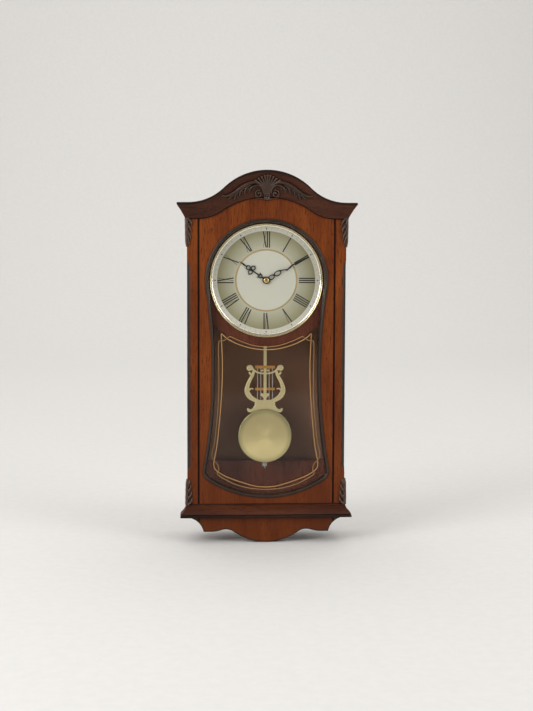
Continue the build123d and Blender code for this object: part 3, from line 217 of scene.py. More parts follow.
def spiral(centre, start_r, end_r, start_turn, turns, width0, width1, steps=26):
    """(x, z, half width) along a scroll that winds from start_r in to end_r."""
    out = []
    for i in range(steps + 1):
        t = i / steps
        angle = math.radians(start_turn + 360 * turns * t)
        r, width = start_r + (end_r - start_r) * t, width0 + (width1 - width0) * t
        out.append((centre[0] + r * math.cos(angle), centre[1] + r * math.sin(angle), width))
    return out


def with_mirror(strokes):
    """The strokes and their mirror images across x = 0."""
    return strokes + [[(-x, z, w) for x, z, w in stroke] for stroke in strokes]


FULL_COIL = 4              # mm of half width from which a stroke's coil has its full height


def stroke_field(px, pz, strokes):
    """Signed distance in mm to the strokes' outline, and the height of a rounded coil over them."""
    distance = np.full(px.shape, 1e3)
    coil = np.zeros(px.shape)
    for stroke in strokes:
        for (x0, z0, w0), (x1, z1, w1) in zip(stroke, stroke[1:]):
            dx, dz = x1 - x0, z1 - z0
            length2 = max(dx * dx + dz * dz, 1e-9)
            t = np.clip(((px - x0) * dx + (pz - z0) * dz) / length2, 0, 1)
            gap = np.hypot(px - x0 - t * dx, pz - z0 - t * dz)
            width = w0 + (w1 - w0) * t
            distance = np.minimum(distance, gap - width)
            bump = np.sqrt(np.clip(1 - (gap / np.maximum(width, 0.05)) ** 2, 0, 1))
            coil = np.maximum(coil, bump * np.minimum(width, FULL_COIL) / FULL_COIL)
    return distance, coil


PROBE = 0.02               # mm between two readings of the field that give its slope
SNAP = 0.62                # grid points this near the outline, in steps, move onto it
KEEP = 0.12                # and those this far outside it still belong to the piece


def relief(strokes, step, front_y, back_y, holes=()):
    """Points and faces, in metres, of a plate or carving drawn with strokes in mm.

    front_y and back_y give y in mm from x, z, the distance field and the coil height."""
    every = [p for stroke in strokes for p in stroke]
    reach = max(p[2] for p in every) + 2 * step
    xs = np.arange(min(p[0] for p in every) - reach, max(p[0] for p in every) + reach, step)
    zs = np.arange(min(p[1] for p in every) - reach, max(p[1] for p in every) + reach, step)
    gx, gz = np.meshgrid(xs, zs, indexing="ij")

    def field(x, z):
        distance, coil = stroke_field(x, z, strokes)
        if holes:
            distance = np.maximum(distance, -stroke_field(x, z, holes)[0])
        return distance, coil

    for _ in range(2):
        distance = field(gx, gz)[0]
        slope_x = (field(gx + PROBE, gz)[0] - distance) / PROBE
        slope_z = (field(gx, gz + PROBE)[0] - distance) / PROBE
        near = np.abs(distance) < SNAP * step
        gx = np.where(near, gx - distance * slope_x, gx)
        gz = np.where(near, gz - distance * slope_z, gz)
    distance, coil = field(gx, gz)
    inside = distance < KEEP * step
    top, bottom = front_y(gx, gz, distance, coil), back_y(gx, gz)

    def place(i, j, front):
        return gx[i, j] * MM, (top if front else bottom)[i, j] * MM, gz[i, j] * MM

    return grid_solid(whole_cells(inside), place)


def whole_cells(inside):
    """Cells of a grid whose four corners are all inside."""
    return inside[:-1, :-1] & inside[1:, :-1] & inside[:-1, 1:] & inside[1:, 1:]


def grid_solid(keep, place):
    """Closes the kept cells of a grid into a solid; place(i, j, front) gives a point of it."""
    number, points, faces = {}, [], []

    def corner(i, j, front):
        key = (i, j, front)
        if key not in number:
            number[key] = len(points)
            points.append(place(i, j, front))
        return number[key]

    cells = {(int(i), int(j)) for i, j in zip(*np.nonzero(keep))}
    for i, j in sorted(cells):
        ring = [(i, j), (i + 1, j), (i + 1, j + 1), (i, j + 1)]
        faces.append(tuple(corner(a, b, True) for a, b in ring))
        faces.append(tuple(corner(a, b, False) for a, b in reversed(ring)))
        beyond = [(i, j - 1), (i + 1, j), (i, j + 1), (i - 1, j)]
        for n, cell in enumerate(beyond):
            if cell not in cells:
                a, b = ring[n], ring[(n + 1) % 4]
                faces.append((corner(*b, True), corner(*a, True), corner(*a, False), corner(*b, False)))
    return points, faces


# ---- material helpers
def linear(red, green, blue):
    """Scene colour from 0-255 display values."""
    out = []
    for value in (red, green, blue):
        c = value / 255
        out.append(c / 12.92 if c <= 0.04045 else ((c + 0.055) / 1.055) ** 2.4)
    return (*out, 1)


class Graph:
    """A short way to write a node material."""

    def __init__(self, name):
        self.material = bpy.data.materials.new(name)
        self.material.use_nodes = True
        self.tree = self.material.node_tree
        self.tree.nodes.clear()

    def node(self, kind, inputs=None, **settings):
        made = self.tree.nodes.new("ShaderNode" + kind)
        for key, value in settings.items():
            setattr(made, key, value)
        for key, value in (inputs or {}).items():
            if isinstance(value, bpy.types.NodeSocket):
                self.tree.links.new(value, made.inputs[key])
            else:
                made.inputs[key].default_value = value
        return made

    def place(self, stretch=(1, 1, 1)):
        """Object coordinates in metres, stretched."""
        where = self.node("TexCoord").outputs["Object"]
        return self.node("Mapping", {"Vector": where, "Scale": stretch}).outputs["Vector"]

    def part_of(self, vector, axis):
        return self.node("SeparateXYZ", {0: vector}).outputs[axis]

    def along(self, axis, kind="Object"):
        """One coordinate of the surface point."""
        return self.part_of(self.node("TexCoord").outputs[kind], axis)

    def noise(self, scale, detail=4, rough=0.55, stretch=(1, 1, 1), bend=0):
        made = self.node("TexNoise", {"Vector": self.place(stretch), "Scale": scale, "Detail": detail,
            "Roughness": rough, "Distortion": bend})
        return made.outputs["Fac"]

    def ramp(self, factor, stops):
        made = self.node("ValToRGB", {"Fac": factor})
        elements = made.color_ramp.elements
        elements[0].position, elements[0].color = stops[0]
        elements[1].position, elements[1].color = stops[-1]
        for position, colour in stops[1:-1]:
            elements.new(position).color = colour
        return made.outputs["Color"]

    def spread(self, factor, from_low, from_high, to_low, to_high):
        made = self.node("MapRange", {"Value": factor, "From Min": from_low, "From Max": from_high,
            "To Min": to_low, "To Max": to_high})
        return made.outputs["Result"]

    def vary(self, noise, at_low, at_high):
        """Follows a noise from one value to another over the range where it mostly lies."""
        return self.spread(noise, 0.3, 0.7, at_low, at_high)

    def math(self, operation, a, b=0):
        return self.node("Math", {0: a, 1: b}, operation=operation).outputs[0]

    def mix(self, factor, a, b, kind="MIX"):
        made = self.node("Mix", {0: factor, 6: a, 7: b}, data_type="RGBA", blend_type=kind)
        return made.outputs[2]

    def bump(self, height, strength, distance, under=None):
        inputs = {"Height": height, "Strength": strength, "Distance": distance}
        if under is not None:
            inputs["Normal"] = under
        return self.node("Bump", inputs).outputs["Normal"]

    def rounded(self, edge):
        """The surface's normal with its edges softened over some mm."""
        return self.node("Bevel", {"Radius": edge * MM}, samples=4).outputs["Normal"]

    def close(self, **inputs):
        """The Principled shader and the output; names are its sockets with _ for a space."""
        named = {key.replace("_", " "): value for key, value in inputs.items()}
        shader = self.node("BsdfPrincipled", named)
        self.node("OutputMaterial", {"Surface": shader.outputs[0]})
        return self.material


STAIN = 0.62               # how much light the woods' stain lets back out
METAL_EDGE = 0.25          # mm by which the shading rounds the edges of metal
CAST_EDGE = 0.3            # and of plastic and turned metal


def deeper(colour, share):
    return tuple(share * c for c in colour[:3]) + (1,)


def drawn_out(axis, share):
    """Stretch of a pattern that runs along an axis: its scale there is a share of the others'."""
    return tuple(share if way == axis else 1 for way in "xyz")


def wood(name, dark, mid, light, grain="z", rough=(0.40, 0.55), coat=0.05, depth=1, crevice_shade=0,
         edge=0.7, foot_dark=0, groove=0, reach=6, ridge_wear_and_highlight=None):
    """Stained, lacquered wood with long figure, fine fibre and open pores.

    Within reach mm of a corner it paints shade, by the amount its shade setting gives; it darkens by
    foot_dark towards the case's foot, and along groove, a distance from the middle in metres. The
    colour for sharp ridges is what worn edges show, and it is also a painted highlight on them."""
    g = Graph(name)
    dark, mid, light = (deeper(linear(*colour), STAIN) for colour in (dark, mid, light))
    figure = g.noise(22, 5, 0.6, drawn_out(grain, 0.15), bend=1.2)
    fibre = g.noise(900, 3, 0.7, drawn_out(grain, 0.02))
    pores = g.noise(620, 2, 0.6, drawn_out(grain, 0.09))
    cloud = g.noise(7, 3, 0.5)
    body = g.ramp(figure, [(0.24, dark), (0.52, mid), (0.80, light)])
    fleck = g.spread(fibre, 0.35, 0.65, 0.80, 1.16)
    body = g.mix(1, body, g.node("CombineColor", {0: fleck, 1: fleck, 2: fleck}).outputs[0], "MULTIPLY")
    pore = g.spread(pores, 0.56, 0.68, 0, 0.75 * depth)
    body = g.mix(pore, body, deeper(dark, 0.35))
    uneven = g.vary(cloud, 0, 0.30)
    body = g.mix(uneven, body, dark)
    if foot_dark:
        height = g.along("Z")
        fall = g.spread(height, -0.30, -0.52, 0, foot_dark)
        body = g.mix(fall, body, dark)
    if groove:
        across = g.along("X")
        off = g.math("ABSOLUTE", g.math("SUBTRACT", g.math("ABSOLUTE", across), groove))
        line = g.spread(off, 1.3 * MM, 2.4 * MM, 0.95, 0)
        body = g.mix(line, body, deeper(dark, 0.10))
    # painted shade: the wood darkens where ambient occlusion finds a corner or recess nearby
    if crevice_shade:
        shade = g.node("AmbientOcclusion", {"Distance": reach * MM}, samples=6).outputs["AO"]
        crevice_shade_share = g.spread(shade, 0.25, 0.95, crevice_shade, 0)
        body = g.mix(crevice_shade_share, body, deeper(dark, 0.16))
    # painted highlight and wear: the sharpest points of the surface take a paler colour
    if ridge_wear_and_highlight:
        sharp = g.node("NewGeometry").outputs["Pointiness"]
        body = g.mix(g.spread(sharp, 0.51, 0.60, 0, 0.85), body, deeper(linear(*ridge_wear_and_highlight), STAIN))
    normal = g.bump(fibre, 0.22 * depth, 0.25 * MM, g.rounded(edge))
    normal = g.bump(pore, 0.30 * depth, -0.20 * MM, normal)
    return g.close(Base_Color=body, Roughness=g.vary(cloud, *rough), Normal=normal,
        Specular_IOR_Level=0.12, Coat_Weight=coat, Coat_Roughness=0.28)


def metal(name, colour, dull, rough=(0.22, 0.34), brush=None, grain_scale=700, tarnish=0.25):
    """Metal with fine brushing, slight tarnish and handling marks."""
    g = Graph(name)
    lines = g.noise(grain_scale, 3, 0.7, drawn_out(brush, 0.03))
    cloud = g.noise(60, 4, 0.6)
    worn = g.spread(cloud, 0.35, 0.75, 0, tarnish)
    body = g.mix(worn, linear(*colour), linear(*dull))
    body = g.mix(g.vary(lines, 0, 0.16), body, linear(*dull))
    normal = g.bump(lines, 0.12, 0.05 * MM, g.rounded(METAL_EDGE))
    return g.close(Base_Color=body, Metallic=1, Roughness=g.vary(lines, *rough), Normal=normal)


def moulded(name, colour, other, rough=(0.4, 0.55), scale=300, bump=0.15):
    """Plastic, rubber or paint with a fine cast texture."""
    g = Graph(name)
    texture = g.noise(scale, 4, 0.6)
    cloud = g.noise(40, 3, 0.5)
    body = g.mix(g.vary(cloud, 0, 0.6), linear(*colour), linear(*other))
    normal = g.bump(texture, bump, 0.08 * MM, g.rounded(CAST_EDGE))
    return g.close(Base_Color=body, Roughness=g.vary(texture, *rough), Normal=normal)


def turned_metal(name, colour, dull, rough, anisotropy, tarnish=0.2, metallic=1, rim=None):
    """Metal brushed in circles, so light falls on it in cones; rim is (colour, from, to), with
    radii as shares of the piece's width."""
    g = Graph(name)
    where = g.node("TexCoord").outputs["Generated"]
    centred = g.node("VectorMath", {0: where, 1: (0.5, 0.5, 0.5)}, operation="SUBTRACT").outputs[0]
    apart = g.node("SeparateXYZ", {0: centred}).outputs
    angle = g.math("ARCTAN2", apart["Z"], apart["X"])
    radius = g.math("POWER", g.math("ADD", g.math("MULTIPLY", apart["X"], apart["X"]),
        g.math("MULTIPLY", apart["Z"], apart["Z"])), 0.5)
    polar = g.node("CombineXYZ", {"X": g.math("MULTIPLY", angle, 40),
        "Y": g.math("MULTIPLY", radius, 3)}).outputs[0]
    rays = g.node("TexNoise", {"Vector": polar, "Scale": 5, "Detail": 4, "Roughness": 0.7})
    rays = rays.outputs["Fac"]
    cloud = g.noise(45, 4, 0.6)
    body = g.mix(g.vary(rays, 0, 0.25), linear(*colour), linear(*dull))
    body = g.mix(g.spread(cloud, 0.4, 0.75, 0, tarnish), body, linear(*dull))
    if rim:
        body = g.mix(g.spread(radius, rim[1], rim[2], 0, 1), body, linear(*rim[0]))
    normal = g.bump(rays, 0.04, 0.02 * MM, g.rounded(CAST_EDGE))
    round_way = g.node("CombineXYZ", {"X": g.math("MULTIPLY", apart["Z"], -1), "Z": apart["X"]})
    tangent = g.node("VectorTransform", {0: round_way.outputs[0]}, vector_type="VECTOR",
        convert_from="OBJECT", convert_to="WORLD").outputs[0]
    return g.close(Base_Color=body, Metallic=metallic, Roughness=g.vary(rays, *rough), Normal=normal,
        Anisotropic=anisotropy, Tangent=tangent)


GLASS_GLOSS = 0.012        # share mirrored by the pane seen square on


def window_glass(name):
    """Thin clear glass: a gloss that grows towards grazing angles, over see-through."""
    g = Graph(name)
    smear = g.noise(18, 4, 0.6)
    tilt = g.node("LayerWeight", {"Blend": 0.5}).outputs["Facing"]
    bend = g.math("ADD", g.math("MULTIPLY", g.math("POWER", tilt, 5), 0.96), GLASS_GLOSS)
    gloss = g.node("BsdfGlossy", {"Color": linear(250, 250, 248),
        "Roughness": g.spread(smear, 0.35, 0.7, 0.02, 0.05)})
    clear = g.node("BsdfTransparent", {"Color": (0.985, 0.99, 0.985, 1)})
    both = g.node("MixShader", {0: bend, 1: clear.outputs[0], 2: gloss.outputs[0]})
    g.node("OutputMaterial", {"Surface": both.outputs[0]})
    return g.material


def hardboard(name):
    """Brown pressed board, rough behind and stained dark towards the inside of the case."""
    g = Graph(name)
    pulp = g.noise(420, 5, 0.75)
    blot = g.noise(30, 4, 0.6)
    raw = g.ramp(pulp, [(0.3, linear(96, 66, 42)), (0.7, linear(140, 104, 70))])
    raw = g.mix(g.spread(blot, 0.35, 0.7, 0, 0.4), raw, linear(84, 58, 38))
    stain = g.ramp(pulp, [(0.3, linear(128, 90, 66)), (0.7, linear(137, 97, 71))])
    facing = g.part_of(g.node("NewGeometry").outputs["Normal"], "Y")
    inner = g.spread(facing, -0.2, -0.6, 0, 1)
    body = g.mix(inner, raw, stain)
    press = g.math("MULTIPLY", pulp, g.spread(inner, 0, 1, 1, 0.12))
    return g.close(Base_Color=body, Roughness=g.vary(pulp, 0.62, 0.85),
        Normal=g.bump(press, 0.4, 0.15 * MM))


def cell_label(name):
    """The battery: a printed band between plain metal ends."""
    g = Graph(name)
    height = g.along("Z", "Generated")
    scuff = g.noise(220, 4, 0.6)
    band = g.ramp(height, [
        (0, linear(60, 60, 64)), (0.66, linear(58, 60, 66)), (0.68, linear(176, 120, 60)),
        (0.96, linear(182, 128, 66)), (0.97, linear(190, 190, 192))])
    body = g.mix(g.spread(scuff, 0.5, 0.8, 0, 0.5), band, linear(36, 36, 38))
    return g.close(Base_Color=body, Metallic=0.5, Roughness=g.vary(scuff, 0.3, 0.5),
        Normal=g.bump(scuff, 0.1, 0.05 * MM))


def board_green(name):
    g = Graph(name)
    weave = g.noise(900, 2, 0.5)
    tracks = g.node("TexVoronoi", {"Vector": g.place((1, 1, 1)), "Scale": 260},
        feature="DISTANCE_TO_EDGE").outputs["Distance"]
    body = g.ramp(tracks, [(0.04, linear(70, 120, 62)), (0.12, linear(28, 78, 44))])
    return g.close(Base_Color=body, Roughness=g.vary(weave, 0.35, 0.55),
        Normal=g.bump(weave, 0.2, 0.05 * MM))


# ---- materials
JOINT_X = low("right_stile").x
# The corner shade settings below paint shade into each wood's corners and recesses.
VENEER = wood("veneer_wood", (96, 43, 15), (134, 65, 23), (164, 86, 33), foot_dark=0.55, crevice_shade=0.8,
    groove=JOINT_X)
CROWN_WOOD = wood("crown_wood", (56, 29, 18), (88, 48, 31), (108, 62, 41), grain="x", crevice_shade=0.95)
BASE_WOOD = wood("base_wood", (50, 21, 8), (80, 36, 14), (98, 50, 24), grain="x", crevice_shade=0.95)
RETURN_WOOD = wood("return_wood", (50, 27, 19), (80, 44, 31), (100, 58, 41), grain="y", crevice_shade=0.8)
# Carved wood: painted shade in its recesses, and a paler colour on its sharpest edges that is both wear
# and a painted highlight.
CARVED_WOOD = wood("carved_wood", (44, 26, 17), (70, 44, 30), (94, 62, 44), crevice_shade=1, edge=0.2,
    depth=0.4, rough=(0.26, 0.38), coat=0.5, reach=9, ridge_wear_and_highlight=(128, 98, 76))
# painted shade: a dark wood that stands in for the shade on the lips of the crown and the base, and
# colours the painted shadow lines
LIP_SHADE_WOOD = wood("lip_shade_wood", (30, 18, 12), (48, 31, 22), (64, 44, 32), grain="x", crevice_shade=0.6, edge=0.4)
FLOOR_WOOD = wood("floor_wood", (70, 52, 40), (88, 66, 50), (102, 78, 60), grain="x", coat=0,
    depth=0.2, rough=(0.6, 0.75))
STRIP_WOOD = wood("strip_wood", (38, 28, 21), (58, 46, 36), (78, 64, 52), crevice_shade=0.7, depth=0.6,
    edge=0.4, coat=0.2, rough=(0.36, 0.5))
MOULDING_WOOD = wood("moulding_wood", (42, 31, 24), (62, 48, 38), (84, 68, 54), crevice_shade=0.9, depth=0.5,
    edge=0.3, coat=0.35, rough=(0.30, 0.42))
INNER_WOOD = wood("inner_wood", (108, 52, 32), (146, 76, 50), (164, 92, 62), crevice_shade=0.5, coat=0.1,
    rough=(0.45, 0.6))
SOFTWOOD = wood("softwood", (168, 124, 76), (190, 148, 98), (206, 168, 120), coat=0,
    rough=(0.6, 0.75), crevice_shade=0.4)
HARDBOARD = hardboard("hardboard")
GLASS = window_glass("window_glass")
STEEL = metal("zinc_steel", (176, 176, 172), (120, 118, 112))
BLACK_STEEL = moulded("black_steel", (14, 13, 13), (24, 22, 20), (0.3, 0.45), 500)
BRASS = metal("lacquered_brass", (214, 186, 128), (170, 138, 84), (0.16, 0.28))
BEZEL_BRASS = metal("bezel_brass", (222, 204, 162), (188, 164, 118), (0.14, 0.24), tarnish=0.15)
# painted highlight: the bevel's brass is near white so that it shows as a bright ring
BEVEL_HIGHLIGHT_BRASS = metal("bevel_highlight_brass", (250, 244, 226), (232, 220, 190), (0.16, 0.28), tarnish=0.10)
PALE_BRASS = metal("pale_brass", (226, 210, 162), (188, 168, 116), (0.30, 0.42), "z", tarnish=0.2)
ORANGE_BRASS = metal("orange_brass", (222, 164, 96), (170, 116, 62), (0.25, 0.38), "x")
STRING_SILVER = metal("string_silver", (176, 174, 164), (124, 122, 114), (0.3, 0.42), "z")
BOB_BRASS = turned_metal("bob_brass", (222, 204, 150), (188, 170, 116), (0.28, 0.36), 0.75,
    metallic=0.9, rim=((168, 158, 110), 0.40, 0.50))
DIAL_METAL = turned_metal("dial_metal", (192, 188, 168), (182, 177, 154), (0.34, 0.42), 0.7,
    metallic=0.45, rim=((146, 141, 106), 0.27, 0.42))
CENTRE_METAL = turned_metal("dial_centre_metal", (197, 195, 182), (186, 183, 167), (0.38, 0.48), 0.4,
    metallic=0.15)
TRACK_METAL = turned_metal("minute_track_metal", (204, 200, 190), (176, 172, 160), (0.30, 0.42), 0.4,
    metallic=0.2)
GOLD_PRINT = moulded("gold_print", (178, 134, 80), (152, 110, 62), (0.35, 0.5), 900)
RING_PRINT = moulded("ring_print", (168, 148, 108), (146, 126, 88), (0.35, 0.5), 900)
BLACK_PRINT = moulded("black_print", (22, 21, 20), (34, 32, 30), (0.35, 0.5), 900)
BLACK_PLASTIC = moulded("black_plastic", (24, 24, 25), (34, 34, 35))
WHITE_PLASTIC = moulded("white_plastic", (206, 204, 196), (190, 187, 178))
RUBBER = moulded("rubber", (30, 29, 28), (42, 40, 38), (0.7, 0.85), 600, 0.3)
COPPER = metal("copper_winding", (196, 112, 66), (140, 72, 40), (0.25, 0.4), "x", 1600)
CELL = cell_label("cell_label")
BOARD_GREEN = board_green("circuit_board_green")


# ---- CAD nodes that stay as they are
LOOKS = (
    (VENEER, "right_side_panel left_side_panel right_stile left_stile front_panel apron"),
    (CROWN_WOOD, "top_board"),
    (INNER_WOOD, "dial_mask_board lower_back_rail"),
    (FLOOR_WOOD, "bottom_board"),
    (SOFTWOOD, "glue_blocks top_back_rail"),
    (HARDBOARD, "back_panel rear_door"),
    (GLASS, "glass_pane"),
    (STEEL, "glass_clips case_screws hanger_plate door_tab pivot_pin battery_contacts rating_stud"),
    (BRASS, "hinge_frame_leaves hinge_door_leaves hinge_pins movement_nut minute_arbor hand_nut"),
    (BLACK_PLASTIC, "catch_magnet movement_housing movement_cover pendulum_hanger"),
    (WHITE_PLASTIC, "hour_wheel intermediate_wheel setting_knob"),
    (RUBBER, "movement_washer"),
    (CELL, "battery"),
    (BOARD_GREEN, "circuit_board"),
    (COPPER, "drive_coils"),
    (DIAL_METAL, "dial_plate"),
    (PALE_BRASS, "pendulum_rod lyre_rivets"),
    (STRING_SILVER, "lyre_strings rating_nut"),
    (ORANGE_BRASS, "lyre_crossbars"),
    (BOB_BRASS, "bob_back"))


def paint_cad_nodes():
    for material, names in LOOKS:
        for name in names.split():
            for entry in NODES[name].material_slots:
                entry.material = material


# ---- crown
def bell(x, foot_x, foot_z, rise, top_r):
    """Height of a bell curve of two arcs at x: peak at 0, flat from foot_x on."""
    foot_r = (foot_x ** 2 + rise ** 2) / (2 * rise) - top_r
    joint = foot_x * top_r / (top_r + foot_r)
    x = abs(x)
    if x <= joint:
        return foot_z + rise - top_r + math.sqrt(top_r ** 2 - x ** 2)
    if x < foot_x:
        return foot_z + foot_r - math.sqrt(foot_r ** 2 - (foot_x - x) ** 2)
    return foot_z


def crown_top(x):
    return bell(x, OGEE_FOOT_X, CROWN_WING, CROWN_RISE, CROWN_TOP_R)


def crown_foot(x):
    return bell(x, CROWN_FOOT_X, CROWN_LOW, CROWN_FOOT_RISE, CROWN_UNDER_R)


def crown_under_lip(x):
    return bell(x, OGEE_FOOT_X, CROWN_WING - CROWN_LIP, CROWN_RISE, CROWN_TOP_R + CROWN_LIP)


def hollow(share, out0, out1, bend):
    """How far a cove stands out at a share of its height."""
    return out0 + (out1 - out0) * (share - bend * share * (1 - share))


def crown_out(share):
    return hollow(share, CROWN_FOOT_OUT, CROWN_OUT - LIP_STEP, CROWN_HOLLOW)


def crown_cove():
    """(out, height) pairs round the crown's cove: height 0 is its foot, 1 the lip's underside."""
    shares = [step / COVE_STEPS for step in range(COVE_STEPS + 1)]
    return [(0, 0)] + [(crown_out(share), share) for share in shares] + [(0, 1)]


def crown_lip():
    """The same for the lip; what is above 1 is a distance above its underside."""
    half, reach = CROWN_LIP / 2, CROWN_LIP / 2 * LIP_BULGE
    nose = [(CROWN_OUT - reach + reach * c, 1 + half + half * s)
            for c, s in arc(-math.pi / 2, math.pi / 2, LIP_STEPS)]
    return [(0, 1)] + nose + [(0, 1 + CROWN_LIP)]


def crown_front(name, section, material, stands_for=()):
    rings = []
    for column in range(CROWN_COLUMNS + 1):
        across = -1 + 2 * column / CROWN_COLUMNS
        ring = []
        for out, share in section:
            x = across * (CASE_HALF + out)
            foot, lip = crown_foot(x), crown_under_lip(x)
            z = foot + (lip - foot) * share if share <= 1 else lip + (share - 1) * lip_gain(x, lip)
            ring.append((x, FRONT - out, z))
        rings.append(ring)
    add_piece(name, skin(rings), material, stands_for)


def crown_side(name, section, material, stands_for=()):
    under = CROWN_WING - CROWN_LIP
    rings = [[], []]
    for out, share in section:
        z = CROWN_LOW + (under - CROWN_LOW) * share if share <= 1 else under + share - 1
        rings[0].append((CASE_HALF + out, 0, z))
        rings[1].append((CASE_HALF + out, FRONT - out, z))
    right = skin(rings)
    add_piece(name, joined([right, mirrored(right)]), material, stands_for)


def crown_moulding():
    crown_front("crown", crown_cove(), CROWN_WOOD, ["crown_moulding"])
    # the lip is dark with painted shade
    crown_front("crown_lip", crown_lip(), LIP_SHADE_WOOD)
    crown_side("crown_sides", crown_cove(), RETURN_WOOD, ["crown_returns"])
    # the lip's returns are dark with painted shade
    crown_side("crown_lip_sides", crown_lip(), LIP_SHADE_WOOD)


def lip_gain(x, lip):
    """Stretches the lip's height so that it ends on the crown's top curve."""
    return (crown_top(x) - lip) / CROWN_LIP


# painted shadow lines: how far the dark strips reach and how proud they stand
SHADOW_LINE = 1.5 * MM
SHADOW_LINE_PROUD = 0.7 * MM
SINK = 0.2 * MM            # how deep an applied strip reaches into what it lies on
LAP = 0.3 * MM             # how far it runs under its neighbour


def painted_shadow_lines():
    """Painted shadow lines: thin dark strips on the panel under the crown's foot and on top of the base
    moulding, where shade falls.
    """
    front, back = FRONT - SHADOW_LINE_PROUD, FRONT + SINK
    rings = []
    for column in range(CROWN_COLUMNS + 1):
        x = CASE_HALF * (-1 + 2 * column / CROWN_COLUMNS)
        under, over = crown_foot(x) - SHADOW_LINE, crown_foot(x) + LAP
        rings.append([(x, front, under), (x, back, under), (x, back, over), (x, front, over)])
    line = box_outline(0, 0, CASE_HALF, BASE_TOP - LAP, BASE_TOP + SHADOW_LINE)
    add_piece("painted_shadow_lines", joined([skin(rings), plate(line, front, back)]), LIP_SHADE_WOOD)


# ---- base moulding
BASE_BACK = high("base_returns").y
BASE_STEP = 0.8 * MM       # the lip stands this much in front of the cove's foot
BASE_DROP = 0.6 * MM       # the cove's top edge is this much below the moulding's
BASE_BULGE = 0.8           # depth of the lip's round nose, as a share of its half height
QUIRK_OUT = BASE_OUT - 2.6 * MM


def base_sections():
    """(out, z) round the base moulding's cove and round the lip below it."""
    lip_top = BASE_BOTTOM + BASE_LIP
    cove_foot = lip_top + BASE_QUIRK
    meet = [(0, cove_foot - LAP), (QUIRK_OUT, cove_foot - LAP)]
    cove = [(0, BASE_TOP), (BASE_TOP_OUT / 2, BASE_TOP)]
    for step in range(COVE_STEPS + 1):
        share = step / COVE_STEPS
        out = hollow(share, BASE_TOP_OUT, BASE_OUT - BASE_STEP, BASE_HOLLOW)
        cove.append((out, BASE_TOP + (cove_foot - BASE_TOP) * share - BASE_DROP * (1 - share)))
    half, reach = BASE_LIP / 2, BASE_LIP / 2 * BASE_BULGE
    nose = [(BASE_OUT - reach + reach * c, lip_top - half + half * s)
            for c, s in arc(math.pi / 2, -math.pi / 2, LIP_STEPS)]
    lip = meet + [(QUIRK_OUT, lip_top + 0.1 * MM)] + nose + [(0, BASE_BOTTOM)]
    return cove + meet[::-1], lip


def base_run(name, section, material, front_for=(), sides_for=()):
    """The base moulding's front, and its short returns on the sides of the case."""
    rings = [[(side * (CASE_HALF + out), FRONT - out, z) for out, z in section] for side in (-1, 1)]
    add_piece(name, skin(rings), material, front_for)
    right = skin([[(CASE_HALF + out, y if y > FRONT else FRONT - out, z) for out, z in section]
                  for y in (BASE_BACK, FRONT)])
    add_piece(name + "_sides", joined([right, mirrored(right)]), material, sides_for)


def base_moulding():
    cove, lip = base_sections()
    base_run("base_cove", cove, BASE_WOOD, ["base_moulding"], ["base_returns"])
    # the lip is dark with painted shade
    base_run("base_lip", lip, LIP_SHADE_WOOD)


# ---- opening
SIDE_R = (WAIST_HALF ** 2 + (DIAL_Z - WAIST_Z) ** 2 - OPENING_R ** 2) / (2 * (OPENING_R - WAIST_HALF))


def arc_points(centre, radius, start, end, steps):
    """Points on an arc from the direction of start to just before the direction of end."""
    first, last = (math.atan2(p[1] - centre[1], p[0] - centre[0]) for p in (start, end))
    last = first + math.remainder(last - first, 2 * math.pi)
    return [(centre[0] + radius * c, centre[1] + radius * s) for c, s in arc(first, last, steps)[:-1]]


def opening_corner():
    """Centre of the opening's lower right corner arc."""
    side = (WAIST_HALF + SIDE_R, WAIST_Z)
    bottom = (0, OPENING_BOTTOM_Z + OPENING_BOTTOM_R)
    to_side = SIDE_R + OPENING_CORNER_R
    to_bottom = OPENING_BOTTOM_R - OPENING_CORNER_R
    apart = math.hypot(side[0] - bottom[0], side[1] - bottom[1])
    along = (to_bottom ** 2 - to_side ** 2 + apart ** 2) / (2 * apart)
    off = math.sqrt(to_bottom ** 2 - along ** 2)
    ux, uz = (side[0] - bottom[0]) / apart, (side[1] - bottom[1]) / apart
    return bottom[0] + along * ux + off * uz, bottom[1] + along * uz - off * ux


def opening_outline(inset):
    """(x, z) points round the opening, moved in from its moulding's outer edge."""
    top, side = (0, DIAL_Z), (WAIST_HALF + SIDE_R, WAIST_Z)
    bottom, corner = (0, OPENING_BOTTOM_Z + OPENING_BOTTOM_R), opening_corner()
    peak, foot = (0, DIAL_Z + OPENING_R), (0, OPENING_BOTTOM_Z)
    right = arc_points(top, OPENING_R - inset, peak, side, 60)
    right += arc_points(side, SIDE_R + inset, top, corner, 40)
    right += arc_points(corner, OPENING_CORNER_R - inset, side, foot_of_corner(bottom, corner), 16)
    right += arc_points(bottom, OPENING_BOTTOM_R - inset, corner, foot, 30)
    right.append((0, OPENING_BOTTOM_Z + inset))
    return right + [(-x, z) for x, z in reversed(right[1:-1])]


def foot_of_corner(bottom, corner):
    """A point beyond the corner's centre, straight out from the bottom arc's centre."""
    return 2 * corner[0] - bottom[0], 2 * corner[1] - bottom[1]


